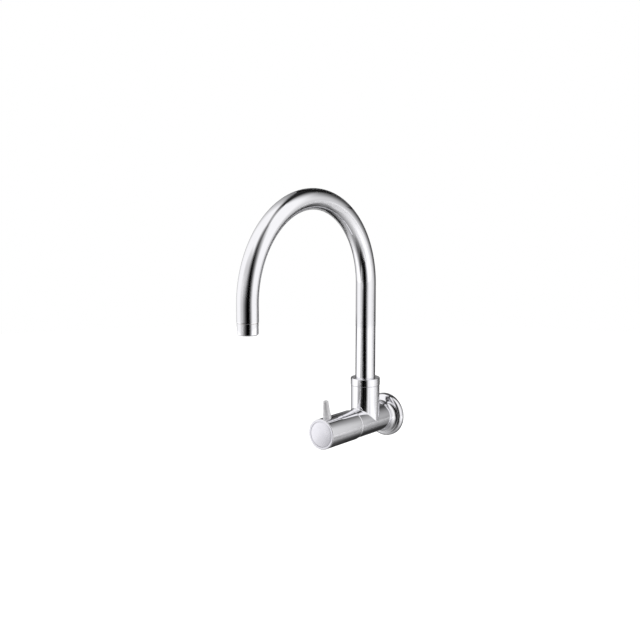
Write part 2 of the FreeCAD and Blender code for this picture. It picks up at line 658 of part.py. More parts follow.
def make_tube():
    """The swan neck: one tube swept along a riser, a half circle and a short drop."""
    body = new_piece("spout_tube", AT_RISER)
    section = new_sketch(body, "TubeSection", "XY_Plane", TUBE_FOOT)
    circle(section, "TubeDiameter / 2")
    circle(section, TUBE_BORE_RADIUS)
    path = new_sketch(body, "TubePath", "YZ_Plane")
    corners = [("0", TUBE_FOOT), ("0", "ArchHeight"),
               ("-2 * ArchRadius", "ArchHeight"), ("-2 * ArchRadius", TUBE_END)]
    foot, spring, drop, end = [FreeCAD.Vector(number(y), number(z), 0) for y, z in corners]
    path.addGeometry(Part.LineSegment(foot, spring))
    crown = FreeCAD.Vector(-number("ArchRadius"), number("ArchHeight + ArchRadius"), 0)
    path.addGeometry(Part.Arc(spring, crown, drop))
    path.addGeometry(Part.LineSegment(drop, end))
    path.addConstraint(Sketcher.Constraint("Coincident", 0, 2, 1, 1))
    path.addConstraint(Sketcher.Constraint("Coincident", 1, 2, 2, 1))
    for (geometry, point), corner in zip([(0, 1), (0, 2), (2, 1), (2, 2)], corners):
        fix(path, "DistanceX", geometry, point, corner[0])
        fix(path, "DistanceY", geometry, point, corner[1])
    fix(path, "DistanceY", 1, 3, "ArchHeight")
    pipe = body.newObject("PartDesign::AdditivePipe", "SwanNeck")
    pipe.Profile = section
    pipe.Spine = (path, ["Edge1", "Edge2", "Edge3"])
    doc.recompute()
    length = sum(edge.Length for edge in path.Shape.Edges)
    area = math.pi * (number("TubeDiameter / 2") ** 2 - number(TUBE_BORE_RADIUS) ** 2)
    share = pipe.Shape.Volume / (area * length)
    print(f"spout tube: centre line {length:.1f} mm, volume {share:.4f} of section times length")


def honeycomb(body, radius, flats, foot, thickness):
    """Cut hexagonal cells through a plate: a middle cell and the rings of cells round it."""
    top = f"({foot} + {thickness})"
    cell_rings = int(number(f"({radius} - {flats}) / CellPitch"))
    middle = new_sketch(body, "MiddleCellSection", "XY_Plane", top)
    hexagon(middle, flats)
    pocket(body, "MiddleCell", middle, thickness)
    cells = new_sketch(body, "CellSections", "XY_Plane", top)
    for ring in range(1, cell_rings + 1):
        for step in range(ring):
            hexagon(cells, flats, (f"CellPitch * {ring - step} * cos(30)",
                                   f"CellPitch * {ring + step} * sin(30)"))
    sixth = pocket(body, "SixthOfCells", cells, thickness)
    around(body, "Cells", sixth, "Z_Axis", 6)


def make_outlet():
    """The outlet fitting, the aerator shell and what lies in it."""
    fitting = f"({TUBE_BORE_RADIUS} - SeatClearance)"
    thread = f"({NOZZLE_BORE_RADIUS} - SeatClearance)"
    top = f"({TUBE_END} + OutletFittingLength)"
    upright("outlet_fitting", AT_OUTLET, [
        (FITTING_BORE_RADIUS, FITTING_FOOT),
        (thread, FITTING_FOOT),
        (thread, TUBE_END),
        (fitting, TUBE_END),
        (fitting, top),
        (FITTING_BORE_RADIUS, top),
    ])
    nozzle = NOZZLE_RADIUS
    mouth = f"({nozzle} - NozzleLipWidth)"
    upright("aerator_shell", AT_OUTLET, [
        (mouth, MOUTH),
        (f"{nozzle} - NozzleChamfer", MOUTH),
        (nozzle, f"{MOUTH} + NozzleChamfer"),
        (nozzle, NOZZLE_TOP),
        (NOZZLE_BORE_RADIUS, NOZZLE_TOP),
        (NOZZLE_BORE_RADIUS, INSERT_FOOT),
        (mouth, INSERT_FOOT),
    ])
    upright("aerator_washer", AT_OUTLET, [
        (FITTING_BORE_RADIUS, AERATOR_WASHER_FOOT),
        (thread, AERATOR_WASHER_FOOT),
        (thread, FITTING_FOOT),
        (FITTING_BORE_RADIUS, FITTING_FOOT),
    ])
    for label, foot, thickness, flats in (
            ("aerator_insert", INSERT_FOOT, "InsertThickness", "CellWidth"),
            ("aerator_screen", SCREEN_FOOT, "ScreenThickness", "ScreenCellWidth")):
        body = new_piece(label, AT_OUTLET)
        plate = new_sketch(body, "PlateCircle", "XY_Plane", foot)
        circle(plate, thread)
        pad(body, "Plate", plate, thickness)
        honeycomb(body, thread, flats, foot, thickness)


# Valve head

def make_head():
    """The valve head: a brass sleeve with windows, thread, hexagon, neck and stop blocks."""
    rear = f"({SEAT} + HeadSetback)"
    land = "(ChamberDiameter / 2 - SeatClearance)"
    thread = f"({HEAD_THREAD_RADIUS} - SeatClearance)"
    thread_start = f"({TEE_FRONT} - HeadThreadDepth + SeatClearance)"
    land_start = f"({thread_start} - HeadLandLength)"
    ring_place = f"({thread_start} - HeadLandLength / 2)"
    bearing = "(JournalDiameter / 2 + RunningClearance)"
    body = turned("valve_head", [
        (rear, "HeadBore / 2"),
        (rear, "HeadBore / 2 + HeadWall"),
        (land_start, "HeadBore / 2 + HeadWall"),
        (land_start, land),
        *groove(ring_place, "HeadRingGroove", land, "HeadRingDepth"),
        (thread_start, land),
        (thread_start, thread),
        (f"{TEE_FRONT} + SeatClearance", thread),
        (f"{TEE_FRONT} + SeatClearance", "NeckDiameter / 2"),
        (NECK_END, "NeckDiameter / 2"),
        (NECK_END, bearing),
        (THRUST_STEP, bearing),
        (THRUST_STEP, "HeadBore / 2"),
    ])
    hexagon_place = f"({TEE_FRONT} + SeatClearance)"
    ring = new_sketch(body, "HexagonSides", "XZ_Plane", hexagon_place)
    hexagon(ring, HEX_FLATS)
    circle(ring, "(NeckDiameter / 2 - SeatClearance)")
    pad(body, "Hexagon", ring, "HexThickness - SeatClearance")
    blocks = new_sketch(body, "StopBlockSector", "XZ_Plane", f"{NECK_END} - SeatClearance")
    block_half = "((180 - StopLugAngle - TurnAngle) / 2 - StopPlayAngle)"
    block_middle = f"(StopLugAngle / 2 + TurnAngle + StopPlayAngle + {block_half})"
    sector(blocks, "(StopRingRadius + 2 * RunningClearance)", "StopOuterRadius",
           block_middle, block_half)
    block = pad(body, "StopBlock", blocks, "StopThickness + SeatClearance")
    around(body, "StopBlocks", block, "Y_Axis", 2)
    keys = new_sketch(body, "DiscKeySection", "XZ_Plane", FIXED_DISC)
    notch = f"({DISC_RADIUS} - KeyDepth + SeatClearance)"
    rectangle(keys, ("-KeyWidth / 2 + SeatClearance", notch),
              ("KeyWidth / 2 - SeatClearance", "(HeadBore + HeadWall) / 2"))
    key = pad(body, "DiscKey", keys, "DiscThickness")
    around(body, "DiscKeys", key, "Y_Axis", 2)
    window = new_sketch(body, "WindowSection", "YZ_Plane", "HeadBore / 2 + HeadWall + Overrun")
    window_rear = f"({SEAT} + WindowStart)"
    rectangle(window, (minus(f"{window_rear} + WindowLength"), "-WindowWidth / 2"),
              (minus(window_rear), "WindowWidth / 2"))
    pocket(body, "Windows", window, "HeadBore + 2 * (HeadWall + Overrun)")
    rings("head_o_ring", [ring_place], f"({land} - HeadRingDepth)", "(ChamberDiameter / 2)")


def make_seat_seal():
    edge = DISC_RADIUS
    turned("seat_seal", [
        (f"{SEAT} + SealClearance", "SealBore / 2"),
        (f"{SEAT} + SealClearance", edge),
        (f"{FIXED_DISC} - SealClearance", edge),
        (f"{FIXED_DISC} - SealClearance", "SealBore / 2"),
    ])


def make_disc(label, place, radius, port_middle, key_middle):
    """A ceramic disc with two ports, and two notches for its keys."""
    body = new_piece(label)
    blank = new_sketch(body, "BlankCircle", "XZ_Plane", place)
    circle(blank, radius)
    pad(body, "Blank", blank, "DiscThickness - SealClearance")
    port = new_sketch(body, "PortSector", "XZ_Plane", f"{place} + DiscThickness")
    sector(port, "PortInnerRadius", "PortOuterRadius", port_middle, "PortHalfAngle")
    cut = pocket(body, "Port", port, "DiscThickness + Overrun")
    around(body, "Ports", cut, "Y_Axis", 2)
    notch = new_sketch(body, "NotchSection", "XZ_Plane", f"{place} + DiscThickness")
    low = f"({radius} - KeyDepth)"
    high = f"({radius} + Overrun)"
    if key_middle == "top":
        rectangle(notch, ("-KeyWidth / 2", low), ("KeyWidth / 2", high))
    else:
        rectangle(notch, (low, "-KeyWidth / 2"), (high, "KeyWidth / 2"))
    slot = pocket(body, "Notch", notch, "DiscThickness + Overrun")
    around(body, "Notches", slot, "Y_Axis", 2)


# Spindle

def make_spindle():
    """The spindle: bow-tie foot, thrust collar, ringed journal, flats and splines."""
    journal = "(JournalDiameter / 2)"
    foot = MOVING_DISC_RADIUS
    spline = "(SplineDiameter / 2)"
    ring_places = [f"({THRUST_STEP} + SpindleRearRing)", f"({THRUST_STEP} + SpindleFrontRing)"]
    clip_rear = f"({STOP_FRONT} + SwivelPlay)"
    clip_front = f"({clip_rear} + ClipThickness + SwivelPlay)"
    grooves = []
    for place in ring_places:
        grooves += groove(place, "SpindleRingGroove", journal, "SpindleRingDepth")
    body = turned("spindle", [
        (FOOT, "0"),
        (FOOT, foot),
        (f"{FOOT} + FootThickness", foot),
        (f"{FOOT} + FootThickness", "WaistDiameter / 2"),
        (f"{THRUST_FRONT} - ThrustThickness", "WaistDiameter / 2"),
        (f"{THRUST_FRONT} - ThrustThickness", "ThrustDiameter / 2"),
        (THRUST_FRONT, "ThrustDiameter / 2"),
        (THRUST_FRONT, journal),
        *grooves,
        (NECK_END, journal),
        (NECK_END, "FlattedDiameter / 2"),
        (clip_rear, "FlattedDiameter / 2"),
        (clip_rear, "ClipGrooveRadius"),
        (clip_front, "ClipGrooveRadius"),
        (clip_front, "FlattedDiameter / 2"),
        (FLATTED_END, "FlattedDiameter / 2"),
        (FLATTED_END, spline),
        (f"{SPINDLE_END} - SplineDepth", spline),
        (SPINDLE_END, f"{spline} - SplineDepth"),
        (SPINDLE_END, "ScrewDiameter / 2 + SeatClearance"),
        (f"{SPINDLE_END} - ScrewHoleDepth", "ScrewDiameter / 2 + SeatClearance"),
        (f"{SPINDLE_END} - ScrewHoleDepth", "0"),
    ])
    opening = new_sketch(body, "FootOpeningSector", "XZ_Plane", f"{FOOT} + FootThickness")
    sector(opening, "WaistDiameter / 2", f"({foot} + Overrun)", "90", "PortHalfAngle")
    cut = pocket(body, "FootOpening", opening, "FootThickness + Overrun")
    around(body, "FootOpenings", cut, "Y_Axis", 2)
    tab = new_sketch(body, "DriveTabSection", "XZ_Plane", f"{FOOT} - TabLength")
    rectangle(tab, (f"({foot} - KeyDepth + SeatClearance)", "-KeyWidth / 2 + SeatClearance"),
              (f"({foot} - SeatClearance)", "KeyWidth / 2 - SeatClearance"))
    tab_pad = pad(body, "DriveTab", tab, "TabLength + SeatClearance")
    around(body, "DriveTabs", tab_pad, "Y_Axis", 2)
    flat = new_sketch(body, "FlatSection", "XZ_Plane", FLATTED_END)
    rectangle(flat, ("-FlattedDiameter", "FlattedWidth / 2"),
              ("FlattedDiameter", "FlattedDiameter"))
    flat_cut = pocket(body, "Flat", flat, "FlattedLength")
    around(body, "Flats", flat_cut, "Y_Axis", 2)
    spline_cut(body, spline, SPINDLE_END, "SplineLength")
    rings("spindle_o_rings", ring_places, f"({journal} - SpindleRingDepth)",
          f"({journal} + RunningClearance)")


def spline_cut(body, surface, front, length):
    """Cut the tapered grooves of the splines from the front end backwards."""
    cut = new_sketch(body, "SplineSection", "XZ_Plane", front)
    floor = f"({surface} - SplineDepth)"
    mouth = f"({surface} + SplineDepth)"
    outline(cut, [
        (floor, "-SplineWidth / 4"),
        (mouth, "-3 * SplineWidth / 4"),
        (mouth, "3 * SplineWidth / 4"),
        (floor, "SplineWidth / 4"),
    ])
    first = pocket(body, "SplineGroove", cut, length)
    around(body, "Splines", first, "Y_Axis", round(number("SplineCount")))


def make_stops():
    """The stop washer on the spindle's flats and the spring clip that holds it."""
    washer = new_piece("stop_washer")
    ring = new_sketch(washer, "RingCircle", "XZ_Plane", f"{NECK_END} + SwivelPlay")
    circle(ring, "StopRingRadius")
    pad(washer, "Ring", ring, "StopThickness")
    lug = new_sketch(washer, "LugSector", "XZ_Plane", f"{NECK_END} + SwivelPlay")
    sector(lug, "(StopRingRadius - RunningClearance)", "StopOuterRadius", "0",
           "(StopLugAngle / 2)")
    lug_pad = pad(washer, "Lug", lug, "StopThickness")
    around(washer, "Lugs", lug_pad, "Y_Axis", 2)
    hole = new_sketch(washer, "FlattedHole", "XZ_Plane", STOP_FRONT)
    radius = "(FlattedDiameter / 2 + SeatClearance)"
    half = "(FlattedWidth / 2 + SeatClearance)"
    side = f"sqrt({radius}^2 - {half}^2)"
    outline(hole, [
        (side, minus(half), radius, "left"),
        (side, half),
        (minus(side), half, radius, "left"),
        (minus(side), minus(half)),
    ])
    pocket(washer, "SpindleHole", hole, "StopThickness + Overrun")
    clip = new_piece("spindle_clip")
    bow_half = "((360 - ClipGapAngle) / 4)"
    for name, sign in (("Left", "+"), ("Right", "-")):
        bow = new_sketch(clip, f"{name}BowSector", "XZ_Plane", f"{STOP_FRONT} + SwivelPlay")
        sector(bow, "(ClipGrooveRadius + SeatClearance)", "ClipOuterRadius",
               f"(90 {sign} (ClipGapAngle / 2 + {bow_half}))", bow_half)
        pad(clip, f"{name}Bow", bow, "ClipThickness")


def make_glides():
    """The slippery washer at the thrust collar and the nylon ring that centres the knob."""
    washer_rear = f"({THRUST_FRONT} + SwivelPlay)"
    turned("glide_washer", [
        (washer_rear, "(JournalDiameter / 2 + 2 * RunningClearance)"),
        (washer_rear, "(HeadBore / 2 - SeatClearance)"),
        (f"{washer_rear} + GlideWasherThickness", "(HeadBore / 2 - SeatClearance)"),
        (f"{washer_rear} + GlideWasherThickness", "(JournalDiameter / 2 + 2 * RunningClearance)"),
    ])
    guide_rear = f"({HEX_FRONT} + GuideSetback)"
    turned("knob_guide_ring", [
        (guide_rear, "NeckDiameter / 2 + SeatClearance"),
        (guide_rear, "GuideDiameter / 2"),
        (f"{guide_rear} + GuideLength", "GuideDiameter / 2"),
        (f"{guide_rear} + GuideLength", "NeckDiameter / 2 + SeatClearance"),
    ])


# Knob and lever

def lever_place(height):
    """Give the place in the YZ plane of a point on the lever's leaning centre line."""
    foot_y = minus(f"({KNOB_FRONT} - LeverSetback)")
    return (f"({foot_y} - ({height} - KnobDiameter / 2) * tan(LeverLean))", height)


def lean_spin(body, name, stations, kind="Revolution"):
    """Turn (height along the pin, radius) corners about the lever's leaning centre line.

    The leaning plane is mirrored too, so an arc's centre changes sides.
    """
    foot_y = minus(f"({KNOB_FRONT} - LeverSetback)")
    corners = []
    for along, radius, *arc in stations:
        y = f"({foot_y} - ({along}) * sin(LeverLean) + ({radius}) * cos(LeverLean))"
        z = f"(KnobDiameter / 2 + ({along}) * cos(LeverLean) + ({radius}) * sin(LeverLean))"
        corners.append((y, z, *(MIRRORED.get(item, item) for item in arc)))
    centre_line = (lever_place("(KnobDiameter / 2)"), lever_place("(KnobDiameter / 2 + LeverRise)"))
    return spin_about(body, name, corners, centre_line, kind)


def make_knob():
    """The knob: a hollow turned sleeve with a web that carries the spline insert."""
    outside = "(KnobDiameter / 2)"
    body = turned("knob_sleeve", [
        (KNOB_REAR, KNOB_REAR_RADIUS),
        (KNOB_REAR, f"{outside} - KnobRearEdge"),
        (f"{KNOB_REAR} + KnobRearEdge", outside),
        (f"{KNOB_FRONT} - KnobEdge", outside, "KnobEdge", "right"),
        (KNOB_FRONT, f"{outside} - KnobEdge"),
        (KNOB_FRONT, f"{CAP_RADIUS} + SeatClearance"),
        (f"{CAP_REAR} - SeatClearance", f"{CAP_RADIUS} + SeatClearance"),
        (f"{CAP_REAR} - SeatClearance", KNOB_FRONT_RADIUS),
        (WEB_FRONT, KNOB_FRONT_RADIUS),
        (WEB_FRONT, "ScrewHoleDiameter / 2"),
        (WEB_REAR, "ScrewHoleDiameter / 2"),
        (WEB_REAR, "GuideDiameter / 2 + RunningClearance"),
        (KNOB_STEP, "GuideDiameter / 2 + RunningClearance"),
        (KNOB_STEP, KNOB_REAR_RADIUS),
    ])
    well = new_sketch(body, "InsertWell", "XZ_Plane",
                      f"{WEB_REAR} + SplineLength + 2 * SeatClearance")
    hexagon(well, "(InsertFlats + 2 * SeatClearance)")
    pocket(body, "InsertPocket", well, "SplineLength + Overrun")
    hole = "(LeverStubRadius + SeatClearance)"
    lean_spin(body, "LeverHole", [
        ("-Overrun", "0"),
        ("-Overrun", hole),
        ("Overrun", hole),
        ("Overrun", "0"),
    ], kind="Groove")
    insert = new_piece("spline_insert")
    blank = new_sketch(insert, "InsertHexagon", "XZ_Plane", f"{WEB_REAR} + SeatClearance")
    hexagon(blank, "InsertFlats")
    bore = "(SplineDiameter / 2 - SplineDepth + SeatClearance)"
    circle(blank, bore)
    pad(insert, "Insert", blank, "SplineLength")
    ridge = new_sketch(insert, "SplineRoomSection", "XZ_Plane",
                       f"{WEB_REAR} + SplineLength + Overrun")
    tooth = "(180 / SplineCount)"
    outer = "(SplineDiameter / 2 + SeatClearance)"
    inner = f"({bore} - SeatClearance)"
    base = "(SplineWidth / 4 - SeatClearance)"
    top = "(SplineWidth / 2 - SeatClearance)"
    outline(ridge, [
        (f"{inner} * cos(2 * {tooth}) + {base} * sin(2 * {tooth})",
         f"{inner} * sin(2 * {tooth}) - {base} * cos(2 * {tooth})"),
        (inner, base),
        (outer, top),
        (f"{outer} * cos(2 * {tooth}) + {top} * sin(2 * {tooth})",
         f"{outer} * sin(2 * {tooth}) - {top} * cos(2 * {tooth})"),
    ])
    room = pocket(insert, "SplineRoom", ridge, "SplineLength + 2 * Overrun")
    around(insert, "SplineRooms", room, "Y_Axis", round(number("SplineCount")))


def make_cap():
    """The front cap: a crowned disc on a skirt, held in the knob by a rubber ring."""
    edge = CAP_RADIUS
    crown = f"(({edge}^2 + CapDome^2) / (2 * CapDome))"
    skirt = f"({KNOB_FRONT_RADIUS} - 2 * SeatClearance)"
    ring_place = f"({CAP_REAR} - CapSkirtLength / 2)"
    turned("front_cap", [
        (f"{KNOB_FRONT} - CapPlate", "0"),
        (f"{KNOB_FRONT} - CapPlate", f"{skirt} - CapSkirtWall"),
        (f"{CAP_REAR} - CapSkirtLength", f"{skirt} - CapSkirtWall"),
        (f"{CAP_REAR} - CapSkirtLength", skirt),
        *groove(ring_place, "CapRingGroove", skirt, "CapRingDepth"),
        (CAP_REAR, skirt),
        (CAP_REAR, edge),
        (KNOB_FRONT, edge, crown, "right"),
        (f"{KNOB_FRONT} + CapDome", "0"),
    ])
    rings("cap_ring", [ring_place], f"({skirt} - CapRingDepth)", KNOB_FRONT_RADIUS)


def make_screw():
    """The handle screw: its head bears on the web and its shank goes into the spindle."""
    head = f"({WEB_FRONT} + SealClearance)"
    body = turned("handle_screw", [
        (f"{head} - ScrewLength", "0"),
        (f"{head} - ScrewLength", "ScrewDiameter / 2"),
        (head, "ScrewDiameter / 2"),
        (head, "ScrewHeadDiameter / 2"),
        (f"{head} + ScrewHeadHeight - ScrewHeadEdge", "ScrewHeadDiameter / 2"),
        (f"{head} + ScrewHeadHeight", "ScrewHeadDiameter / 2 - ScrewHeadEdge"),
        (f"{head} + ScrewHeadHeight", "0"),
    ])
    socket = new_sketch(body, "SocketHexagon", "XZ_Plane", f"{head} + ScrewHeadHeight")
    hexagon(socket, "ScrewSocket")
    pocket(body, "Socket", socket, "ScrewSocketDepth")


def make_lever():
    """The lever pin: a leaning tapered shaft whose flared foot is saddled on the knob."""
    body = new_piece("lever_pin")
    length = "(LeverRise / cos(LeverLean))"
    crown = "((LeverTipRadius^2 + LeverTipCrown^2) / (2 * LeverTipCrown))"
    lean_spin(body, "Shaft", [
        ("-Overrun", "0"),
        ("-Overrun", "LeverFootRadius"),
        ("LeverFootEdge", "LeverFootRadius", "LeverFlareRadius", "left"),
        ("LeverFlareHeight", "LeverShaftRadius"),
        (f"{length} - LeverTipCrown", "LeverTipRadius", crown, "right"),
        (length, "0"),
    ])
    saddle = new_sketch(body, "SaddleOutline", "YZ_Plane")
    rectangle(saddle, (minus(f"{KNOB_FRONT} + Overrun"), "0"),
              (minus(KNOB_REAR), "(KnobDiameter / 2 + SeatClearance)"))
    cut = body.newObject("PartDesign::Groove", "Saddle")
    cut.Profile = saddle
    cut.ReferenceAxis = (saddle, ["H_Axis"])
    cut.Angle = 360
    wall = f"(KnobDiameter / 2 - {KNOB_FRONT_RADIUS})"
    lean_spin(body, "Stub", [
        (minus(wall), "0"),
        (minus(wall), "LeverStubRadius"),
        ("LeverFootEdge", "LeverStubRadius"),
        ("LeverFootEdge", "0"),
    ])


def check_and_export():
    """Refuse a document with a failed object, then write one file for each sub-part."""
    doc.recompute()
    for item in doc.Objects:
        if "Invalid" in item.State or "Error" in item.State:
            raise RuntimeError(f"{item.Label} of {item.getParentGroup()} failed: {item.State}")
    for piece in pieces:
        if piece.Shape.isNull() or not piece.Shape.isValid():
            raise RuntimeError(f"{piece.Label} has no valid shape")
    for piece in pieces:
        piece.Shape.exportStep(f"parts/{piece.Label}.step")
        solids = len(piece.Shape.Solids)
        print(f"{piece.Label}: {solids} solid(s), {piece.Shape.Volume:.0f} mm3")


make_tee()
make_flange()
make_swivel()
make_ferrule()
make_tube()
make_outlet()
make_head()
make_seat_seal()
make_disc("fixed_disc", FIXED_DISC, DISC_RADIUS, "0", "top")
make_disc("moving_disc", MOVING_DISC, MOVING_DISC_RADIUS, "90", "side")
make_spindle()
make_stops()
make_glides()
make_knob()
make_cap()
make_screw()
make_lever()
check_and_export()
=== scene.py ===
"""Wall-mounted kitchen faucet: finishes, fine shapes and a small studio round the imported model.

Lengths are in metres. The origin is on the wall, at the middle of the wall flange, +Y points
into the wall and +Z is up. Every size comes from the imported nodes' boxes or is a named value.
"""

import math

import bmesh
import bpy
from mathutils import Matrix, Vector


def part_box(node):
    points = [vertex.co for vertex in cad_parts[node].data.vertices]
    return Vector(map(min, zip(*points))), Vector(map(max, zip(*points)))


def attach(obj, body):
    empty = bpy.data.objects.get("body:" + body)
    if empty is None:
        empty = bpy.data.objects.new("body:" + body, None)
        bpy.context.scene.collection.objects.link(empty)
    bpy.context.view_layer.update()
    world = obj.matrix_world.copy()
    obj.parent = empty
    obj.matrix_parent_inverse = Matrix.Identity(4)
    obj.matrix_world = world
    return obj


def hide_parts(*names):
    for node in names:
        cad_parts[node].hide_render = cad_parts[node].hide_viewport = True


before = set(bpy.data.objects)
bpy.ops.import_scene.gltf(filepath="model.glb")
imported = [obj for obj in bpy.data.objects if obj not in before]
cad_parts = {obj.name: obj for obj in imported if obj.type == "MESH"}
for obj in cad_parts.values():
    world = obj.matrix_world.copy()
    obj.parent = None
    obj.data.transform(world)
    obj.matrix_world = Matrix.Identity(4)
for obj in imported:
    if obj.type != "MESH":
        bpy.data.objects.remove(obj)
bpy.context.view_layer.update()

bl_info = {
    "name": "Wall Faucet Finish",
    "version": (1, 0, 0),
    "blender": (4, 5, 0),
    "location": "View3D > Sidebar > Faucet",
    "description": "Dresses the wall-mounted faucet in chrome and sets up its studio",
    "category": "Object",
}

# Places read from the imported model

TUBE_LOW, TUBE_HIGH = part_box("spout_tube")
TEE_LOW, TEE_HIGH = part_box("tee_body")
FLANGE_LOW, FLANGE_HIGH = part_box("wall_flange")
COLLAR_LOW, COLLAR_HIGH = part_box("spout_collar")
SHELL_LOW, SHELL_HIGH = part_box("aerator_shell")
CAP_LOW, CAP_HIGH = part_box("front_cap")
KNOB_LOW, KNOB_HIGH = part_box("knob_sleeve")

OUT = Vector((0, -1, 0))
UP = Vector((0, 0, 1))
RIGHT = Vector((1, 0, 0))
RISER = Vector((0, (COLLAR_LOW.y + COLLAR_HIGH.y) / 2, 0))
OUTLET = Vector((0, (SHELL_LOW.y + SHELL_HIGH.y) / 2, 0))

# How fine the meshes are: points nearer than MERGE are one point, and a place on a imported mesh
# is found to within NEAR. Two faces that turn by more than SHARP_ANGLE meet in a hard edge.

MERGE = 1e-7
NEAR = 2e-5
SHARP_ANGLE = math.radians(40)
ROUND_SEGMENTS = 128
LEAST_ROUND_STEPS = 3
SMALLEST_STEP = 0.00028
THREAD_STEPS = 12
LEAD_IN = 0.01


# Meshes

def new_object(name, bm):
    """Turn a bmesh into an object of the scene."""
    mesh = bpy.data.meshes.new(name)
    bm.to_mesh(mesh)
    bm.free()
    item = bpy.data.objects.new(name, mesh)
    bpy.context.scene.collection.objects.link(item)
    return item


def finish_piece(name, bm, body, node, materials, exact=False):
    """Turn a bmesh into a smooth piece that rides on a body and stands for a node."""
    bmesh.ops.remove_doubles(bm, verts=bm.verts, dist=MERGE)
    if not exact:
        bmesh.ops.recalc_face_normals(bm, faces=bm.faces)
    piece = new_object(name, bm)
    mesh = piece.data
    mesh.shade_smooth()
    mesh.set_sharp_from_angle(angle=SHARP_ANGLE)
    for material in materials:
        mesh.materials.append(material)
    if exact:
        apply_exact_normals(mesh)
    else:
        weighted = piece.modifiers.new("FlatFaces", "WEIGHTED_NORMAL")
        weighted.keep_sharp = True
    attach(piece, body)
    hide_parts(node)
    return piece


def lathe(corners, foot, axis, side):
    """Turn an outline of (along, radius, rounding) corners about the axis through foot.

    The outline is closed, but an edge that lies on the axis is left out.
    """
    bm = bmesh.new()
    verts = [bm.verts.new(foot + axis * c[0] + side * c[1]) for c in corners]
    edges = [bm.edges.new((a, b)) for a, b in zip(verts, verts[1:] + verts[:1])]
    bmesh.ops.edgeloop_fill(bm, edges=edges)
    for vert, corner in zip(verts, corners):
        rounding = corner[2] if len(corner) > 2 else 0
        if rounding:
            bmesh.ops.bevel(bm, geom=[vert], affect="VERTICES", offset=rounding,
                            segments=max(LEAST_ROUND_STEPS, round(rounding / SMALLEST_STEP)),
                            profile=0.5, material=-1)
    bmesh.ops.delete(bm, geom=bm.faces[:], context="FACES_ONLY")
    bmesh.ops.remove_doubles(bm, verts=bm.verts, dist=MERGE)
    on_axis = [e for e in bm.edges
               if all((v.co - foot).cross(axis).length < MERGE for v in e.verts)]
    bmesh.ops.delete(bm, geom=on_axis, context="EDGES")
    bmesh.ops.spin(bm, geom=bm.verts[:] + bm.edges[:], cent=foot, axis=axis,
                   angle=math.tau, steps=ROUND_SEGMENTS, use_merge=True)
    return bm


def arc(centre, radius, start, end, steps):
    """Points of an arc in an outline, from one angle to another in degrees."""
    angles = [math.radians(start + (end - start) * k / steps) for k in range(steps + 1)]
    return [(centre[0] + radius * math.cos(a), centre[1] + radius * math.sin(a))
            for a in angles]


def cad_copy(node):
    """Copy a node's mesh, keep its exact normals in a layer and merge its loose triangles."""
    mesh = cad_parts[node].data.copy()
    normals = [value for corner in mesh.corner_normals for value in corner.vector]
    mesh.attributes.new("exact_normal", "FLOAT_VECTOR", "CORNER")
    mesh.attributes["exact_normal"].data.foreach_set("vector", normals)
    if "custom_normal" in mesh.attributes:
        mesh.attributes.remove(mesh.attributes["custom_normal"])
    bm = bmesh.new()
    bm.from_mesh(mesh)
    bpy.data.meshes.remove(mesh)
    bmesh.ops.remove_doubles(bm, verts=bm.verts, dist=MERGE)
    return bm


def apply_exact_normals(mesh):
    """Give a finished mesh the normals that its layer holds."""
    layer = mesh.attributes["exact_normal"]
    normals = [tuple(item.vector) for item in layer.data]
    mesh.attributes.remove(layer)
    mesh.normals_split_custom_set(normals)


def widest_ring(bm, y):
    """The points of a turned mesh that lie farthest from the barrel's axis at a place."""
    level = [v for v in bm.verts if abs(v.co.y - y) < NEAR]
    radius = max(v.co.xz.length for v in level)
    return [v for v in level if v.co.xz.length > radius - NEAR]


def open_edges(ring):
    """The edges between points of a ring that have a face on one side only."""
    found = set(ring)
    return list({e for v in ring for e in v.link_edges
                 if e.other_vert(v) in found and len(e.link_faces) < 2})


def extruded(bm, edges):
    """Extrude a ring of edges and give its new points."""
    new = bmesh.ops.extrude_edge_only(bm, edges=edges)["geom"]
    return [item for item in new if isinstance(item, bmesh.types.BMVert)]


def edges_among(verts):
    """The edges between the points of a ring."""
    found = set(verts)
    return [e for v in verts for e in v.link_edges
            if e.other_vert(v) in found and e.verts[0] is v]


def drawn_up(bm, edges, height):
    """Extrude a level ring of edges to a height and give the new ring."""
    ring = extruded(bm, edges)
    for vert in ring:
        vert.co.z = height
    return edges_among(ring)


def round_over(bm, end_y, side_y, drop, reach, steps=8):
    """Make the chamfer at a turned end an arc that starts level with the piece's side.

    It runs along the axis for reach and comes in by drop.
    """
    end, side = widest_ring(bm, end_y), widest_ring(bm, side_y)
    rims = set(end + side)
    strip = [f for f in bm.faces if all(v in rims for v in f.verts)]
    bmesh.ops.delete(bm, geom=strip, context="FACES")
    outside = side[0].co.xz.length
    turn = 2 * math.atan2(drop, reach)
    radius = reach / math.sin(turn)
    toward = math.copysign(1, end_y - side_y)
    centre_y, centre_radius = end_y - toward * reach, outside - radius

    def place(verts, angle):
        for vert in verts:
            vert.co.x, vert.co.z = vert.co.xz.normalized() * (
                centre_radius + radius * math.cos(angle))
            vert.co.y = centre_y + toward * radius * math.sin(angle)

    place(side, 0)
    place(end, turn)
    old = set(bm.faces)
    last = open_edges(side)
    for step in range(1, steps):
        ring = extruded(bm, last)
        place(ring, turn * step / steps)
        last = open_edges(ring)
    bmesh.ops.bridge_loops(bm, edges=last + open_edges(end))
    layer = bm.loops.layers.float_vector["exact_normal"]
    for corner in (c for f in bm.faces if f not in old for c in f.loops):
        spot = corner.vert.co
        x, z = spot.xz.normalized() * centre_radius
        corner[layer] = (spot - Vector((x, centre_y, z))).normalized()


# Shader maths

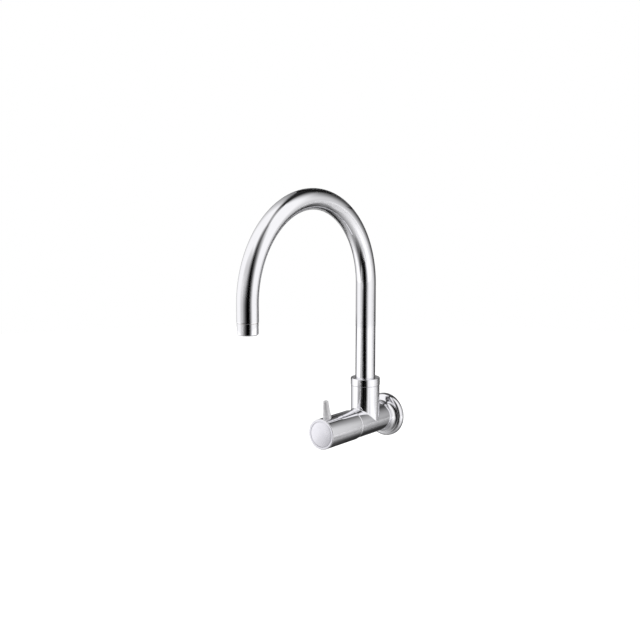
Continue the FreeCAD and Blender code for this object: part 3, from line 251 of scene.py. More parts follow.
class Socket:
    """A value in a shader: Python's operators on it add Math nodes."""

    def __init__(self, shader, output):
        self.shader = shader
        self.output = output

    def math(self, operation, *values):
        return self.shader.node("ShaderNodeMath", dict(operation=operation),
                                dict(enumerate(values)))

    def root(self):
        return self.math("SQRT", self)

    def __add__(self, other):
        return self.math("ADD", self, other)

    __radd__ = __add__

    def __sub__(self, other):
        return self.math("SUBTRACT", self, other)

    def __rsub__(self, other):
        return self.math("SUBTRACT", other, self)

    def __mul__(self, other):
        return self.math("MULTIPLY", self, other)

    __rmul__ = __mul__

    def ramp(self, start, end, low=0.0, high=1.0):
        """Go smoothly from low to high as the value goes from start to end."""
        return self.shader.node("ShaderNodeMapRange", dict(interpolation_type="SMOOTHSTEP"),
                                {"Value": self, "From Min": start, "From Max": end,
                                 "To Min": low, "To Max": high})


class Shader:
    """The nodes of one material or of the world."""

    def __init__(self, tree):
        self.tree = tree
        tree.nodes.clear()

    def node(self, kind, settings=None, inputs=None, out=0):
        """Add a node: its settings first, then the values or links of its sockets."""
        item = self.tree.nodes.new(kind)
        for name, value in (settings or {}).items():
            setattr(item, name, value)
        for key, value in (inputs or {}).items():
            if isinstance(value, Socket):
                self.tree.links.new(value.output, item.inputs[key])
            else:
                item.inputs[key].default_value = value
        return Socket(self, item.outputs[out]) if item.outputs else None

    def place(self, scale=(1, 1, 1), turn=(0, 0, 0), shift=(0, 0, 0)):
        """Object coordinates, turned and stretched for a pattern."""
        coordinates = self.node("ShaderNodeTexCoord", out="Object")
        return self.node("ShaderNodeMapping", None, {
            "Vector": coordinates, "Location": shift, "Rotation": turn, "Scale": scale})

    def noise(self, vector, scale, detail=3.0):
        return self.node("ShaderNodeTexNoise", None, {
            "Vector": vector, "Scale": scale, "Detail": detail})

    def blend(self, factor, first, second):
        """Mix two colours."""
        return self.node("ShaderNodeMix", dict(data_type="RGBA"),
                         {0: factor, 6: first, 7: second}, out=2)

    def separate(self, vector):
        """Give the three parts of a vector."""
        parts = self.node("ShaderNodeSeparateXYZ", None, {"Vector": vector})
        return [Socket(self, output) for output in parts.output.node.outputs]

    def dot(self, vector, direction):
        return self.node("ShaderNodeVectorMath", dict(operation="DOT_PRODUCT"),
                         {0: vector, 1: direction}, out="Value")

    def bump(self, height, strength, distance):
        return self.node("ShaderNodeBump", None, {
            "Height": height, "Strength": strength, "Distance": distance})

    def surface(self, shader, output="ShaderNodeOutputMaterial"):
        self.node(output, None, {"Surface": shader})

    def principled(self, colour, metallic, rough, normal):
        self.surface(self.node("ShaderNodeBsdfPrincipled", None, {
            "Base Color": colour, "Metallic": metallic, "Roughness": rough,
            "Normal": normal}))


SKIN_DEPTH = 0.00004
WHITE = (1, 1, 1)


def new_material(name):
    """Make an empty material and the shader that fills it."""
    material = bpy.data.materials.new(name)
    material.use_nodes = True
    return material, Shader(material.node_tree)


def rgb(colour, share=1.0):
    """A colour, or a share of it, as a colour socket takes it."""
    return (*[share * part for part in colour], 1.0)


def chrome_plate(name, tint, roughness, haze):
    """Polished plate: bright metal with a faint haze and the slight ripple of buffing."""
    material, shader = new_material(name)
    place = shader.place()
    cloud = shader.noise(place, scale=70.0)
    fine = shader.noise(place, scale=2600.0, detail=2.0)
    colour = shader.blend(cloud.ramp(0.35, 0.75), rgb(tint), rgb(tint, 0.985))
    rough = cloud.ramp(0.35, 0.8) * haze + fine.ramp(0.45, 0.9) * (0.4 * haze) + roughness
    ripple = shader.noise(place, scale=190.0, detail=1.0)
    normal = shader.bump(ripple, strength=0.02, distance=0.0001)
    shader.principled(colour, 1.0, rough, normal)
    return material


def satin_plate(name, tint, roughness):
    """Fine-turned satin plate: rings about the valve's axis, too fine to count."""
    material, shader = new_material(name)
    place = shader.place(turn=(math.radians(90), 0, 0))
    x, y, _ = shader.separate(place)
    radius = (x * x + y * y).root()
    rings = shader.noise(shader.node("ShaderNodeCombineXYZ", None, {"X": radius}),
                         scale=9000.0)
    cloud = shader.noise(place, scale=120.0)
    colour = shader.blend(cloud.ramp(0.3, 0.8), rgb(tint), rgb(tint, 0.965))
    rough = rings.ramp(0.3, 0.7) * 0.06 + cloud.ramp(0.3, 0.8) * 0.03 + roughness
    normal = shader.bump(rings, strength=0.10, distance=SKIN_DEPTH)
    shader.principled(colour, 1.0, rough, normal)
    return material


def machined_metal(name, tint, dark_share, roughness, scale):
    """Turned metal without plate: fine tool marks and a little tarnish."""
    material, shader = new_material(name)
    marks = shader.noise(shader.place(scale=(1, 14, 1)), scale, detail=2.0)
    stain = shader.noise(shader.place(), scale=260.0, detail=4.0)
    colour = shader.blend(stain.ramp(0.45, 0.8), rgb(tint), rgb(tint, dark_share))
    rough = marks.ramp(0.3, 0.7) * 0.10 + stain.ramp(0.4, 0.8) * 0.08 + roughness
    normal = shader.bump(marks, strength=0.18, distance=SKIN_DEPTH)
    shader.principled(colour, 1.0, rough, normal)
    return material


def moulded(name, tint, mottle_share, roughness, grain):
    """Moulded rubber, nylon or fired ceramic: a faint mottle and a fine skin."""
    material, shader = new_material(name)
    place = shader.place()
    mottle = shader.noise(place, scale=300.0, detail=4.0)
    skin = shader.noise(place, scale=5200.0, detail=2.0)
    colour = shader.blend(mottle.ramp(0.3, 0.75), rgb(tint), rgb(tint, mottle_share))
    rough = mottle.ramp(0.3, 0.8) * 0.10 + roughness
    normal = shader.bump(skin, strength=grain, distance=SKIN_DEPTH)
    shader.principled(colour, 0.0, rough, normal)
    return material


# The add-on's values


class FaucetSizes(bpy.types.PropertyGroup):
    """Lengths of the pieces that are made here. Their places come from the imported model."""

    small_edge: bpy.props.FloatProperty(
        name="Small edge", description="Rounding of the small edges",
        default=0.00025, unit="LENGTH")
    tube_wall: bpy.props.FloatProperty(
        name="Tube wall", description="Wall of the spout tube",
        default=0.0015, unit="LENGTH")
    tube_edge: bpy.props.FloatProperty(
        name="Tube edge", description="Rounding of the tube's two ends",
        default=0.0002, unit="LENGTH")
    bend_steps: bpy.props.IntProperty(
        name="Bend steps", description="Steps of the spout's half circle", default=128)
    flange_neck: bpy.props.FloatProperty(
        name="Flange neck", description="Straight neck in front of the flare",
        default=0.002, unit="LENGTH")
    flange_flare: bpy.props.FloatProperty(
        name="Flange flare", description="Radius of the hollow curve between neck and lip",
        default=0.006, unit="LENGTH")
    flange_lip: bpy.props.FloatProperty(
        name="Flange lip", description="Rounding of the rim's front edge",
        default=0.0044, unit="LENGTH")
    flange_rear: bpy.props.FloatProperty(
        name="Flange rear", description="Rounding of the rim's rear edge",
        default=0.0012, unit="LENGTH")
    flange_wall: bpy.props.FloatProperty(
        name="Flange wall", description="Wall of the flange",
        default=0.0014, unit="LENGTH")
    shoulder: bpy.props.FloatProperty(
        name="Shoulder", description="Wall to the shoulder where the tail starts",
        default=0.008, unit="LENGTH")
    spigot_step: bpy.props.FloatProperty(
        name="Spigot step", description="Barrel's outside down to the flange's spigot",
        default=0.0015, unit="LENGTH")
    seat_gap: bpy.props.FloatProperty(
        name="Seat gap", description="Gap between two pieces that are assembled by hand",
        default=0.00005, unit="LENGTH")
    seam_gap: bpy.props.FloatProperty(
        name="Seam gap", description="Visible seam between two chromed pieces",
        default=0.00025, unit="LENGTH")
    collar_edge: bpy.props.FloatProperty(
        name="Collar edge", description="Rounding of the collar's top edge",
        default=0.0008, unit="LENGTH")
    collar_step: bpy.props.FloatProperty(
        name="Collar step", description="Collar's outside down to its thread",
        default=0.00275, unit="LENGTH")
    shell_wall: bpy.props.FloatProperty(
        name="Shell wall", description="Wall of the aerator shell",
        default=0.0009, unit="LENGTH")
    shell_lip: bpy.props.FloatProperty(
        name="Shell lip", description="Width of the lip that holds the insert",
        default=0.0023, unit="LENGTH")
    lip_thickness: bpy.props.FloatProperty(
        name="Lip thickness", description="Thickness of that lip",
        default=0.001, unit="LENGTH")
    shell_chamfer: bpy.props.FloatProperty(
        name="Shell chamfer", description="Chamfer round the mouth",
        default=0.0009, unit="LENGTH")
    tail_radius: bpy.props.FloatProperty(
        name="Tail radius", description="Crest radius of the half inch pipe thread",
        default=0.0104775, unit="LENGTH")
    thread_pitch: bpy.props.FloatProperty(
        name="Thread pitch", description="Pitch of the half inch pipe thread",
        default=0.001814, unit="LENGTH")
    thread_depth: bpy.props.FloatProperty(
        name="Thread depth", description="Depth of the half inch pipe thread",
        default=0.001162, unit="LENGTH")
    tail_chamfer: bpy.props.FloatProperty(
        name="Tail chamfer", description="Chamfer at the tail's end",
        default=0.0012, unit="LENGTH")
    inlet_radius: bpy.props.FloatProperty(
        name="Inlet radius", description="Water way through the tail",
        default=0.0065, unit="LENGTH")
    barrel_bore: bpy.props.FloatProperty(
        name="Barrel bore", description="Radius just over the bores along the barrel",
        default=0.0126, unit="LENGTH")
    socket_bore: bpy.props.FloatProperty(
        name="Socket bore", description="Radius just over the bores of the socket",
        default=0.0136, unit="LENGTH")
    barrel_chamfer: bpy.props.FloatProperty(
        name="Barrel chamfer", description="Chamfer of the packed barrel at the knob's seam",
        default=0.0004, unit="LENGTH")
    barrel_round: bpy.props.FloatProperty(
        name="Barrel round", description="Rounding that the barrel has there",
        default=0.0012, unit="LENGTH")
    knob_chamfer: bpy.props.FloatProperty(
        name="Knob chamfer", description="Chamfer of the packed knob at that seam",
        default=0.0003, unit="LENGTH")
    knob_reach: bpy.props.FloatProperty(
        name="Knob reach", description="Length over which the knob rounds down to the barrel",
        default=0.0012, unit="LENGTH")
    lever_setback: bpy.props.FloatProperty(
        name="Lever setback", description="Knob's front rim to the foot of the lever pin",
        default=0.0107, unit="LENGTH")
    lever_lean: bpy.props.FloatProperty(
        name="Lever lean", description="Forward lean of the lever pin",
        default=math.radians(7.5), subtype="ANGLE")
    lever_tip: bpy.props.FloatProperty(
        name="Lever tip", description="Radius of the packed pin under its rounded tip",
        default=0.00215, unit="LENGTH")
    lever_growth: bpy.props.FloatProperty(
        name="Lever growth", description="How much fuller in radius the pin is than packed",
        default=0.0007, unit="LENGTH")
    lever_flare: bpy.props.FloatProperty(
        name="Lever flare", description="Height over which the fuller shape starts",
        default=0.004, unit="LENGTH")
    cap_plate: bpy.props.FloatProperty(
        name="Cap plate", description="Edge of the front cap",
        default=0.0024, unit="LENGTH")
    cap_edge: bpy.props.FloatProperty(
        name="Cap edge", description="Rounding of the front cap's edge",
        default=0.0009, unit="LENGTH")
    skirt_step: bpy.props.FloatProperty(
        name="Skirt step", description="Cap's outside down to its skirt",
        default=0.0012, unit="LENGTH")
    skirt_wall: bpy.props.FloatProperty(
        name="Skirt wall", description="Wall of the cap's skirt",
        default=0.0026, unit="LENGTH")
    groove_width: bpy.props.FloatProperty(
        name="Groove width", description="Width of the groove for the cap's rubber ring",
        default=0.0017, unit="LENGTH")
    groove_depth: bpy.props.FloatProperty(
        name="Groove depth", description="Depth of that groove",
        default=0.0012, unit="LENGTH")


class FaucetFinishes(bpy.types.PropertyGroup):
    """Colours and roughness of the finishes."""

    chrome: bpy.props.FloatVectorProperty(
        name="Chrome", description="Colour of the polished plate",
        default=(0.93, 0.926, 0.955), subtype="COLOR", size=3)
    chrome_roughness: bpy.props.FloatProperty(
        name="Chrome roughness", description="Roughness of the polished plate",
        default=0.035, min=0.0, max=1.0)
    cap: bpy.props.FloatVectorProperty(
        name="Cap", description="Colour of the satin front cap",
        default=(0.91, 0.90, 0.96), subtype="COLOR", size=3)
    cap_roughness: bpy.props.FloatProperty(
        name="Cap roughness", description="Roughness of the satin front cap",
        default=0.24, min=0.0, max=1.0)
    lever: bpy.props.FloatVectorProperty(
        name="Lever", description="Colour of the lever pin",
        default=(0.95, 0.945, 0.955), subtype="COLOR", size=3)
    lever_roughness: bpy.props.FloatProperty(
        name="Lever roughness", description="Roughness of the lever pin",
        default=0.8, min=0.0, max=1.0)
    brass: bpy.props.FloatVectorProperty(
        name="Brass", description="Colour of the bare brass",
        default=(0.78, 0.57, 0.24), subtype="COLOR", size=3)
    steel: bpy.props.FloatVectorProperty(
        name="Steel", description="Colour of the stainless steel",
        default=(0.62, 0.61, 0.59), subtype="COLOR", size=3)
    rubber: bpy.props.FloatVectorProperty(
        name="Rubber", description="Colour of the rubber rings and washers",
        default=(0.018, 0.018, 0.02), subtype="COLOR", size=3)
    nylon: bpy.props.FloatVectorProperty(
        name="Nylon", description="Colour of the glide and guide rings",
        default=(0.86, 0.85, 0.80), subtype="COLOR", size=3)
    ceramic: bpy.props.FloatVectorProperty(
        name="Ceramic", description="Colour of the valve discs",
        default=(0.90, 0.88, 0.82), subtype="COLOR", size=3)
    insert: bpy.props.FloatVectorProperty(
        name="Insert", description="Colour of the aerator's honeycomb insert",
        default=(0.80, 0.81, 0.82), subtype="COLOR", size=3)


class FaucetStudio(bpy.types.PropertyGroup):
    """The camera, the floor and the light."""

    camera_place: bpy.props.FloatVectorProperty(
        name="Camera", description="Place of the camera",
        default=(0.7703, -1.1070, 0.3270), subtype="TRANSLATION", size=3)
    camera_azimuth: bpy.props.FloatProperty(
        name="Azimuth", description="Direction from the faucet to the camera, from -Y to +X",
        default=math.radians(38.06), subtype="ANGLE")
    camera_elevation: bpy.props.FloatProperty(
        name="Elevation", description="Height of that direction above the horizon",
        default=math.radians(9.22), subtype="ANGLE")
    lens: bpy.props.FloatProperty(
        name="Lens", description="Focal length in millimetres on a 36 mm sensor",
        default=67.83)
    floor_height: bpy.props.FloatProperty(
        name="Floor", description="Height of the floor below the faucet",
        default=-0.9, unit="LENGTH")
    floor_glow: bpy.props.FloatProperty(
        name="Floor glow", description="Light that makes the floor white where it is seen",
        default=0.75)
    room_light: bpy.props.FloatProperty(
        name="Room light", description="Even light from the room on dull surfaces",
        default=0.55)
    lamp_target: bpy.props.FloatVectorProperty(
        name="Lamp target", description="Place that the lamps point at",
        default=(0, -0.14, 0.1), subtype="TRANSLATION", size=3)
    key_place: bpy.props.FloatVectorProperty(
        name="Key lamp place", description="Place of the large lamp",
        default=(-0.9, -1.1, 1.5), subtype="TRANSLATION", size=3)
    key_size: bpy.props.FloatProperty(
        name="Key lamp size", description="Width of the large lamp",
        default=1.2, unit="LENGTH")
    key_power: bpy.props.FloatProperty(
        name="Key lamp power", description="Power of the large lamp in watts", default=9.0)
    fill_place: bpy.props.FloatVectorProperty(
        name="Fill lamp place", description="Place of the second lamp",
        default=(1.3, -0.5, 0.9), subtype="TRANSLATION", size=3)
    fill_size: bpy.props.FloatProperty(
        name="Fill lamp size", description="Width of the second lamp",
        default=1.0, unit="LENGTH")
    fill_power: bpy.props.FloatProperty(
        name="Fill lamp power", description="Power of the second lamp in watts", default=5.0)


def sizes():
    return bpy.context.scene.faucet_sizes


def finishes():
    return bpy.context.scene.faucet_finishes


def studio():
    return bpy.context.scene.faucet_studio


def chrome():
    """The polished plate, made once and shared by the outer pieces."""
    found = bpy.data.materials.get("chrome_plate")
    look = finishes()
    return found or chrome_plate("chrome_plate", look.chrome, look.chrome_roughness, haze=0.02)


def satin():
    """The satin plate of the knob's front, made once."""
    found = bpy.data.materials.get("satin_plate")
    look = finishes()
    return found or satin_plate("satin_plate", look.cap, look.cap_roughness)


def brass():
    """The brass inside, which the plate doesn't reach, made once."""
    found = bpy.data.materials.get("bare_brass")
    return found or machined_metal("bare_brass", finishes().brass, dark_share=0.75,
                                   roughness=0.22, scale=900.0)


# Pieces

class FAUCET_OT_spout(bpy.types.Operator):
    """Make the swan-neck tube: a straight riser, a half circle and a short drop"""

    bl_idname = "faucet.spout"
    bl_label = "Spout tube"

    def execute(self, context):
        size = sizes()
        radius = TUBE_HIGH.x
        bend = (RISER - OUTLET).length / 2
        spring = TUBE_HIGH.z - radius - bend
        end = SHELL_HIGH.z + size.seam_gap
        middle = Vector((0, (RISER.y + OUTLET.y) / 2, spring))
        lead = LEAD_IN * bend
        bm = bmesh.new()
        walls = []
        for wall_radius in (radius, radius - size.tube_wall):
            foot = Matrix.Translation(RISER + UP * TUBE_LOW.z)
            ring = bmesh.ops.create_circle(bm, radius=wall_radius, segments=ROUND_SEGMENTS,
                                           matrix=foot)["verts"]
            first = edges_among(ring)
            last = first
            for height in (TUBE_LOW.z + lead, spring - lead, spring):
                last = drawn_up(bm, last, height)
            turned = bmesh.ops.spin(bm, geom=last, cent=middle, axis=RIGHT,
                                    angle=math.pi, steps=size.bend_steps)["geom_last"]
            last = [e for e in turned if isinstance(e, bmesh.types.BMEdge)]
            for height in (spring - lead, end + lead, end):
                last = drawn_up(bm, last, height)
            walls.append((first, last))
        for outer, inner in zip(*walls):
            ends = bmesh.ops.bridge_loops(bm, edges=outer + inner)["faces"]
            rims = {e for f in ends for e in f.edges if len(e.link_faces) == 2
                    and e.calc_face_angle(0) > SHARP_ANGLE}
            bmesh.ops.bevel(bm, geom=list(rims), affect="EDGES", offset=size.tube_edge,
                            segments=LEAST_ROUND_STEPS, profile=0.5, material=-1)
        piece = finish_piece("swan_neck_tube", bm, "spout", "spout_tube", [chrome()])
        return {"FINISHED"}


class FAUCET_OT_tee(bpy.types.Operator):
    """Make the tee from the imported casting, with the pipe thread cut on its tail"""

    bl_idname = "faucet.tee"
    bl_label = "Tee body"

    def execute(self, context):
        size = sizes()
        bm = cad_copy("tee_body")
        front = TEE_LOW.y
        round_over(bm, front, front + size.barrel_chamfer, size.barrel_round,
                   size.barrel_round)
        start = size.seam_gap - size.shoulder
        self.thread_tail(bm, size, start, TEE_HIGH.y)
        layer = bm.loops.layers.float_vector["exact_normal"]
        for face in (f for f in bm.faces if f.calc_center_median().y > start):
            for corner in face.loops:
                corner[layer] = Vector()
        for face in bm.faces:
            if self.in_water_way(face, size):
                face.material_index = 1
        piece = finish_piece("threaded_tee", bm, "faucet_body", "tee_body",
                             [chrome(), brass()], exact=True)
        return {"FINISHED"}

    def thread_tail(self, bm, size, start, end):
        """Cut the plain tail off at start and draw one with the thread's grooves to end."""
        cut = bmesh.ops.bisect_plane(
            bm, geom=bm.verts[:] + bm.edges[:] + bm.faces[:], dist=MERGE,
            plane_co=Vector((0, start, 0)), plane_no=-OUT, clear_outer=True)
        rims = [e for e in cut["geom_cut"] if isinstance(e, bmesh.types.BMEdge)]
        past_bore = (size.inlet_radius + size.tail_radius) / 2
        outer = [e for e in rims if e.verts[0].co.xz.length > past_bore]
        inner = [e for e in rims if e not in set(outer)]
        foot = start + size.seam_gap
        turn = Matrix.Rotation(math.radians(90), 4, "X")
        ring = bmesh.ops.create_circle(
            bm, radius=size.tail_radius, segments=ROUND_SEGMENTS,
            matrix=Matrix.Translation(-OUT * foot) @ turn)["verts"]
        last = edges_among(ring)
        bmesh.ops.bridge_loops(bm, edges=outer + last)
        thread = list(ring)
        count = round((end - start) / size.thread_pitch * THREAD_STEPS)
        for step in range(1, count + 1):
            ring = extruded(bm, last)
            for vert in ring:
                vert.co.y = foot + (end - foot) * step / count
            thread += ring
            last = edges_among(ring)
        bore_end = extruded(bm, inner)
        for vert in bore_end:
            vert.co.y = end
        bmesh.ops.bridge_loops(bm, edges=edges_among(bore_end) + last)
        for vert in thread:
            self.cut_thread(vert, size, start, end)

    def cut_thread(self, vert, size, start, end):
        """Lower a point of the tail into the thread's groove, and chamfer the tail's end."""
        turn = math.atan2(vert.co.x, vert.co.z) / math.tau
        phase = (vert.co.y / size.thread_pitch - turn) % 1
        groove = (1 - math.cos(math.tau * phase)) / 2
        run_in = min(max((vert.co.y - start) / size.thread_pitch - 0.5, 0), 1)
        radius = size.tail_radius - size.thread_depth * groove * run_in
        limit = size.tail_radius - max(0, vert.co.y - (end - size.tail_chamfer))
        vert.co.x, vert.co.z = vert.co.xz.normalized() * min(radius, limit)

    def in_water_way(self, face, size):
        """Tell whether a face is one of the bores, which the plating doesn't reach."""
        middle = face.calc_center_median()
        about_barrel = Vector((middle.x, 0, middle.z))
        about_riser = Vector((middle.x, middle.y - RISER.y, 0))
        inward = [
            about_barrel.dot(face.normal) < 0 and about_barrel.length < size.barrel_bore,
            about_riser.dot(face.normal) < 0 and about_riser.length < size.socket_bore
            and middle.z > 0]
        return any(inward)


class FAUCET_OT_flange(bpy.types.Operator):
    """Make the wall flange: a trumpet-shaped shell with a rounded rim"""

    bl_idname = "faucet.flange"
    bl_label = "Wall flange"

    def execute(self, context):
        size = sizes()
        rim = FLANGE_HIGH.z
        front = -FLANGE_LOW.y
        neck = -TEE_LOW.z
        wall = size.flange_wall
        bore = neck - size.spigot_step + size.seat_gap
        centre = (front - size.flange_neck, neck + size.flange_flare)
        stop = math.asin((centre[1] - rim + size.flange_lip) / size.flange_flare)
        crest = centre[0] - size.flange_flare * math.cos(stop)
        stop = 180 + math.degrees(stop)
        inner = size.flange_flare + wall
        reach = math.degrees(math.asin((centre[0] - size.shoulder) / inner))
        edge = size.small_edge
        bm = lathe([
            (0, rim, size.flange_rear),
            (crest, rim, size.flange_lip),
            *arc(centre, size.flange_flare, stop, 270, steps=20),
            (front, neck, edge),
            (front, bore),
            (size.shoulder, bore),
            *arc(centre, inner, 270 - reach, stop, steps=14),
            (crest - wall, rim - wall, size.flange_lip - wall),
            (0, rim - wall, edge / 2),
        ], Vector(), OUT, UP)
        piece = finish_piece("trumpet_flange", bm, "faucet_body", "wall_flange", [chrome()])
        return {"FINISHED"}


class FAUCET_OT_collar(bpy.types.Operator):
    """Make the threaded collar that traps the spout in the tee's socket"""

    bl_idname = "faucet.collar"
    bl_label = "Spout collar"

    def execute(self, context):
        size = sizes()
        outside = COLLAR_HIGH.x
        seam = TEE_HIGH.z + size.seam_gap
        bore = TUBE_HIGH.x + size.seam_gap
        thread = outside - size.collar_step
        edge = size.small_edge
        bm = lathe([
            (COLLAR_LOW.z, bore, edge),
            (COLLAR_LOW.z, thread, edge),
            (seam, thread),
            (seam, outside, edge),
            (COLLAR_HIGH.z, outside, size.collar_edge),
            (COLLAR_HIGH.z, bore, edge),
        ], RISER, UP, RIGHT)
        piece = finish_piece("socket_collar", bm, "faucet_body", "spout_collar", [chrome()])
        return {"FINISHED"}


class FAUCET_OT_outlet(bpy.types.Operator):
    """Make the aerator shell, with the lip that holds its insert"""

    bl_idname = "faucet.outlet"
    bl_label = "Aerator shell"

    def execute(self, context):
        size = sizes()
        outside = SHELL_HIGH.x
        mouth = outside - size.shell_lip
        bore = outside - size.shell_wall
        edge = size.small_edge
        chamfer = size.shell_chamfer
        bm = lathe([
            (SHELL_LOW.z, mouth, edge),
            (SHELL_LOW.z, outside - chamfer, edge),
            (SHELL_LOW.z + chamfer, outside, edge),
            (SHELL_HIGH.z, outside, edge),
            (SHELL_HIGH.z, bore, edge),
            (SHELL_LOW.z + size.lip_thickness, bore),
            (SHELL_LOW.z + size.lip_thickness, mouth, edge),
        ], OUTLET, UP, RIGHT)
        piece = finish_piece("outlet_shell", bm, "spout", "aerator_shell", [chrome()])
        return {"FINISHED"}


class FAUCET_OT_knob(bpy.types.Operator):
    """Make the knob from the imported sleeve: rounded at the seam, with a satin front rim"""

    bl_idname = "faucet.knob"
    bl_label = "Knob"

    def execute(self, context):
        size = sizes()
        bm = cad_copy("knob_sleeve")
        rear = KNOB_HIGH.y
        round_over(bm, rear, rear - size.knob_chamfer, KNOB_HIGH.x - TEE_HIGH.x,
                   size.knob_reach)
        for face in bm.faces:
            if max(v.co.y for v in face.verts) < KNOB_LOW.y + NEAR:
                face.material_index = 1
        piece = finish_piece("rounded_knob", bm, "handle", "knob_sleeve", [chrome(), satin()],
                             exact=True)
        return {"FINISHED"}


class FAUCET_OT_lever(bpy.types.Operator):
    """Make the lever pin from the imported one, a little fuller above the knob's surface"""

    bl_idname = "faucet.lever"
    bl_label = "Lever pin"

    def execute(self, context):
        size = sizes()
        look = finishes()
        foot = Vector((0, KNOB_LOW.y + size.lever_setback, KNOB_HIGH.z))
        along = Matrix.Rotation(size.lever_lean, 3, "X") @ UP
        bm = cad_copy("lever_pin")
        for vert in bm.verts:
            arm = vert.co - foot
            rise = max(0, arm.z)
            arm -= along * arm.dot(along)
            vert.co += arm.normalized() * (size.lever_growth * min(1, rise / size.lever_flare)
                                           * min(1, arm.length / size.lever_tip))
        plate = chrome_plate("lever_plate", look.lever, look.lever_roughness, haze=0.05)
        piece = finish_piece("fuller_lever", bm, "handle", "lever_pin", [plate], exact=True)
        return {"FINISHED"}


class FAUCET_OT_cap(bpy.types.Operator):
    """Make the satin front cap: a crowned disc on a skirt"""

    bl_idname = "faucet.cap"
    bl_label = "Front cap"

    def execute(self, context):
        size = sizes()
        radius = CAP_HIGH.x
        crown = -CAP_LOW.y
        front = -KNOB_LOW.y
        rear = front - size.cap_plate
        end = -CAP_HIGH.y
        skirt = radius - size.skirt_step
        hollow = skirt - size.skirt_wall
        dome = crown - front
        sphere = (radius ** 2 + dome ** 2) / (2 * dome)
        reach = math.degrees(math.asin(radius / sphere))
        face = arc((crown - sphere, 0), sphere, reach, 0, steps=24)
        edge = size.small_edge
        ring = (rear + end) / 2
        groove = size.groove_width / 2
        depth = size.groove_depth
        bm = lathe([
            *face[1:],
            (front - size.cap_plate / 2, 0),
            (front - size.cap_plate / 2, hollow, edge),
            (end, hollow, edge),
            (end, skirt, edge),
            (ring - groove, skirt),
            (ring - groove, skirt - depth),
            (ring + groove, skirt - depth),
            (ring + groove, skirt),
            (rear, skirt),
            (rear, radius, edge),
            (front, radius, size.cap_edge),
        ], Vector(), OUT, UP)
        piece = finish_piece("crowned_cap", bm, "handle", "front_cap", [satin()])
        return {"FINISHED"}


class FAUCET_OT_packed_nodes(bpy.types.Operator):
    """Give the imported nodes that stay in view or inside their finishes"""

    bl_idname = "faucet.packed_nodes"
    bl_label = "Packed nodes"

    def execute(self, context):
        look = finishes()
        steel = machined_metal("stainless_steel", look.steel, dark_share=0.85, roughness=0.20,
                               scale=700.0)
        rubber = moulded("black_rubber", look.rubber, mottle_share=1.6, roughness=0.55, grain=0.25)
        nylon = moulded("white_nylon", look.nylon, mottle_share=0.94, roughness=0.40, grain=0.10)
        ceramic = moulded("fired_ceramic", look.ceramic, mottle_share=0.95, roughness=0.12,
                          grain=0.02)
        insert = moulded("aerator_plastic", look.insert, mottle_share=0.95, roughness=0.35,
                         grain=0.08)
        dressed = (
            (brass(), ("valve_head", "spindle", "spout_ferrule", "outlet_fitting",
                       "spline_insert")),
            (steel, ("stop_washer", "spindle_clip", "handle_screw", "aerator_screen")),
            (insert, ("aerator_insert",)),
            (rubber, ("seat_seal", "wall_gasket", "aerator_washer", "flange_o_ring",
                      "head_o_ring", "spindle_o_rings", "spout_o_rings", "cap_ring")),
            (nylon, ("lower_glide_ring", "upper_glide_ring", "glide_washer",
                     "knob_guide_ring")),
            (ceramic, ("fixed_disc", "moving_disc")),
        )
        for material, nodes in dressed:
            for node in nodes:
                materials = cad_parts[node].data.materials
                materials.clear()
                materials.append(material)
        return {"FINISHED"}
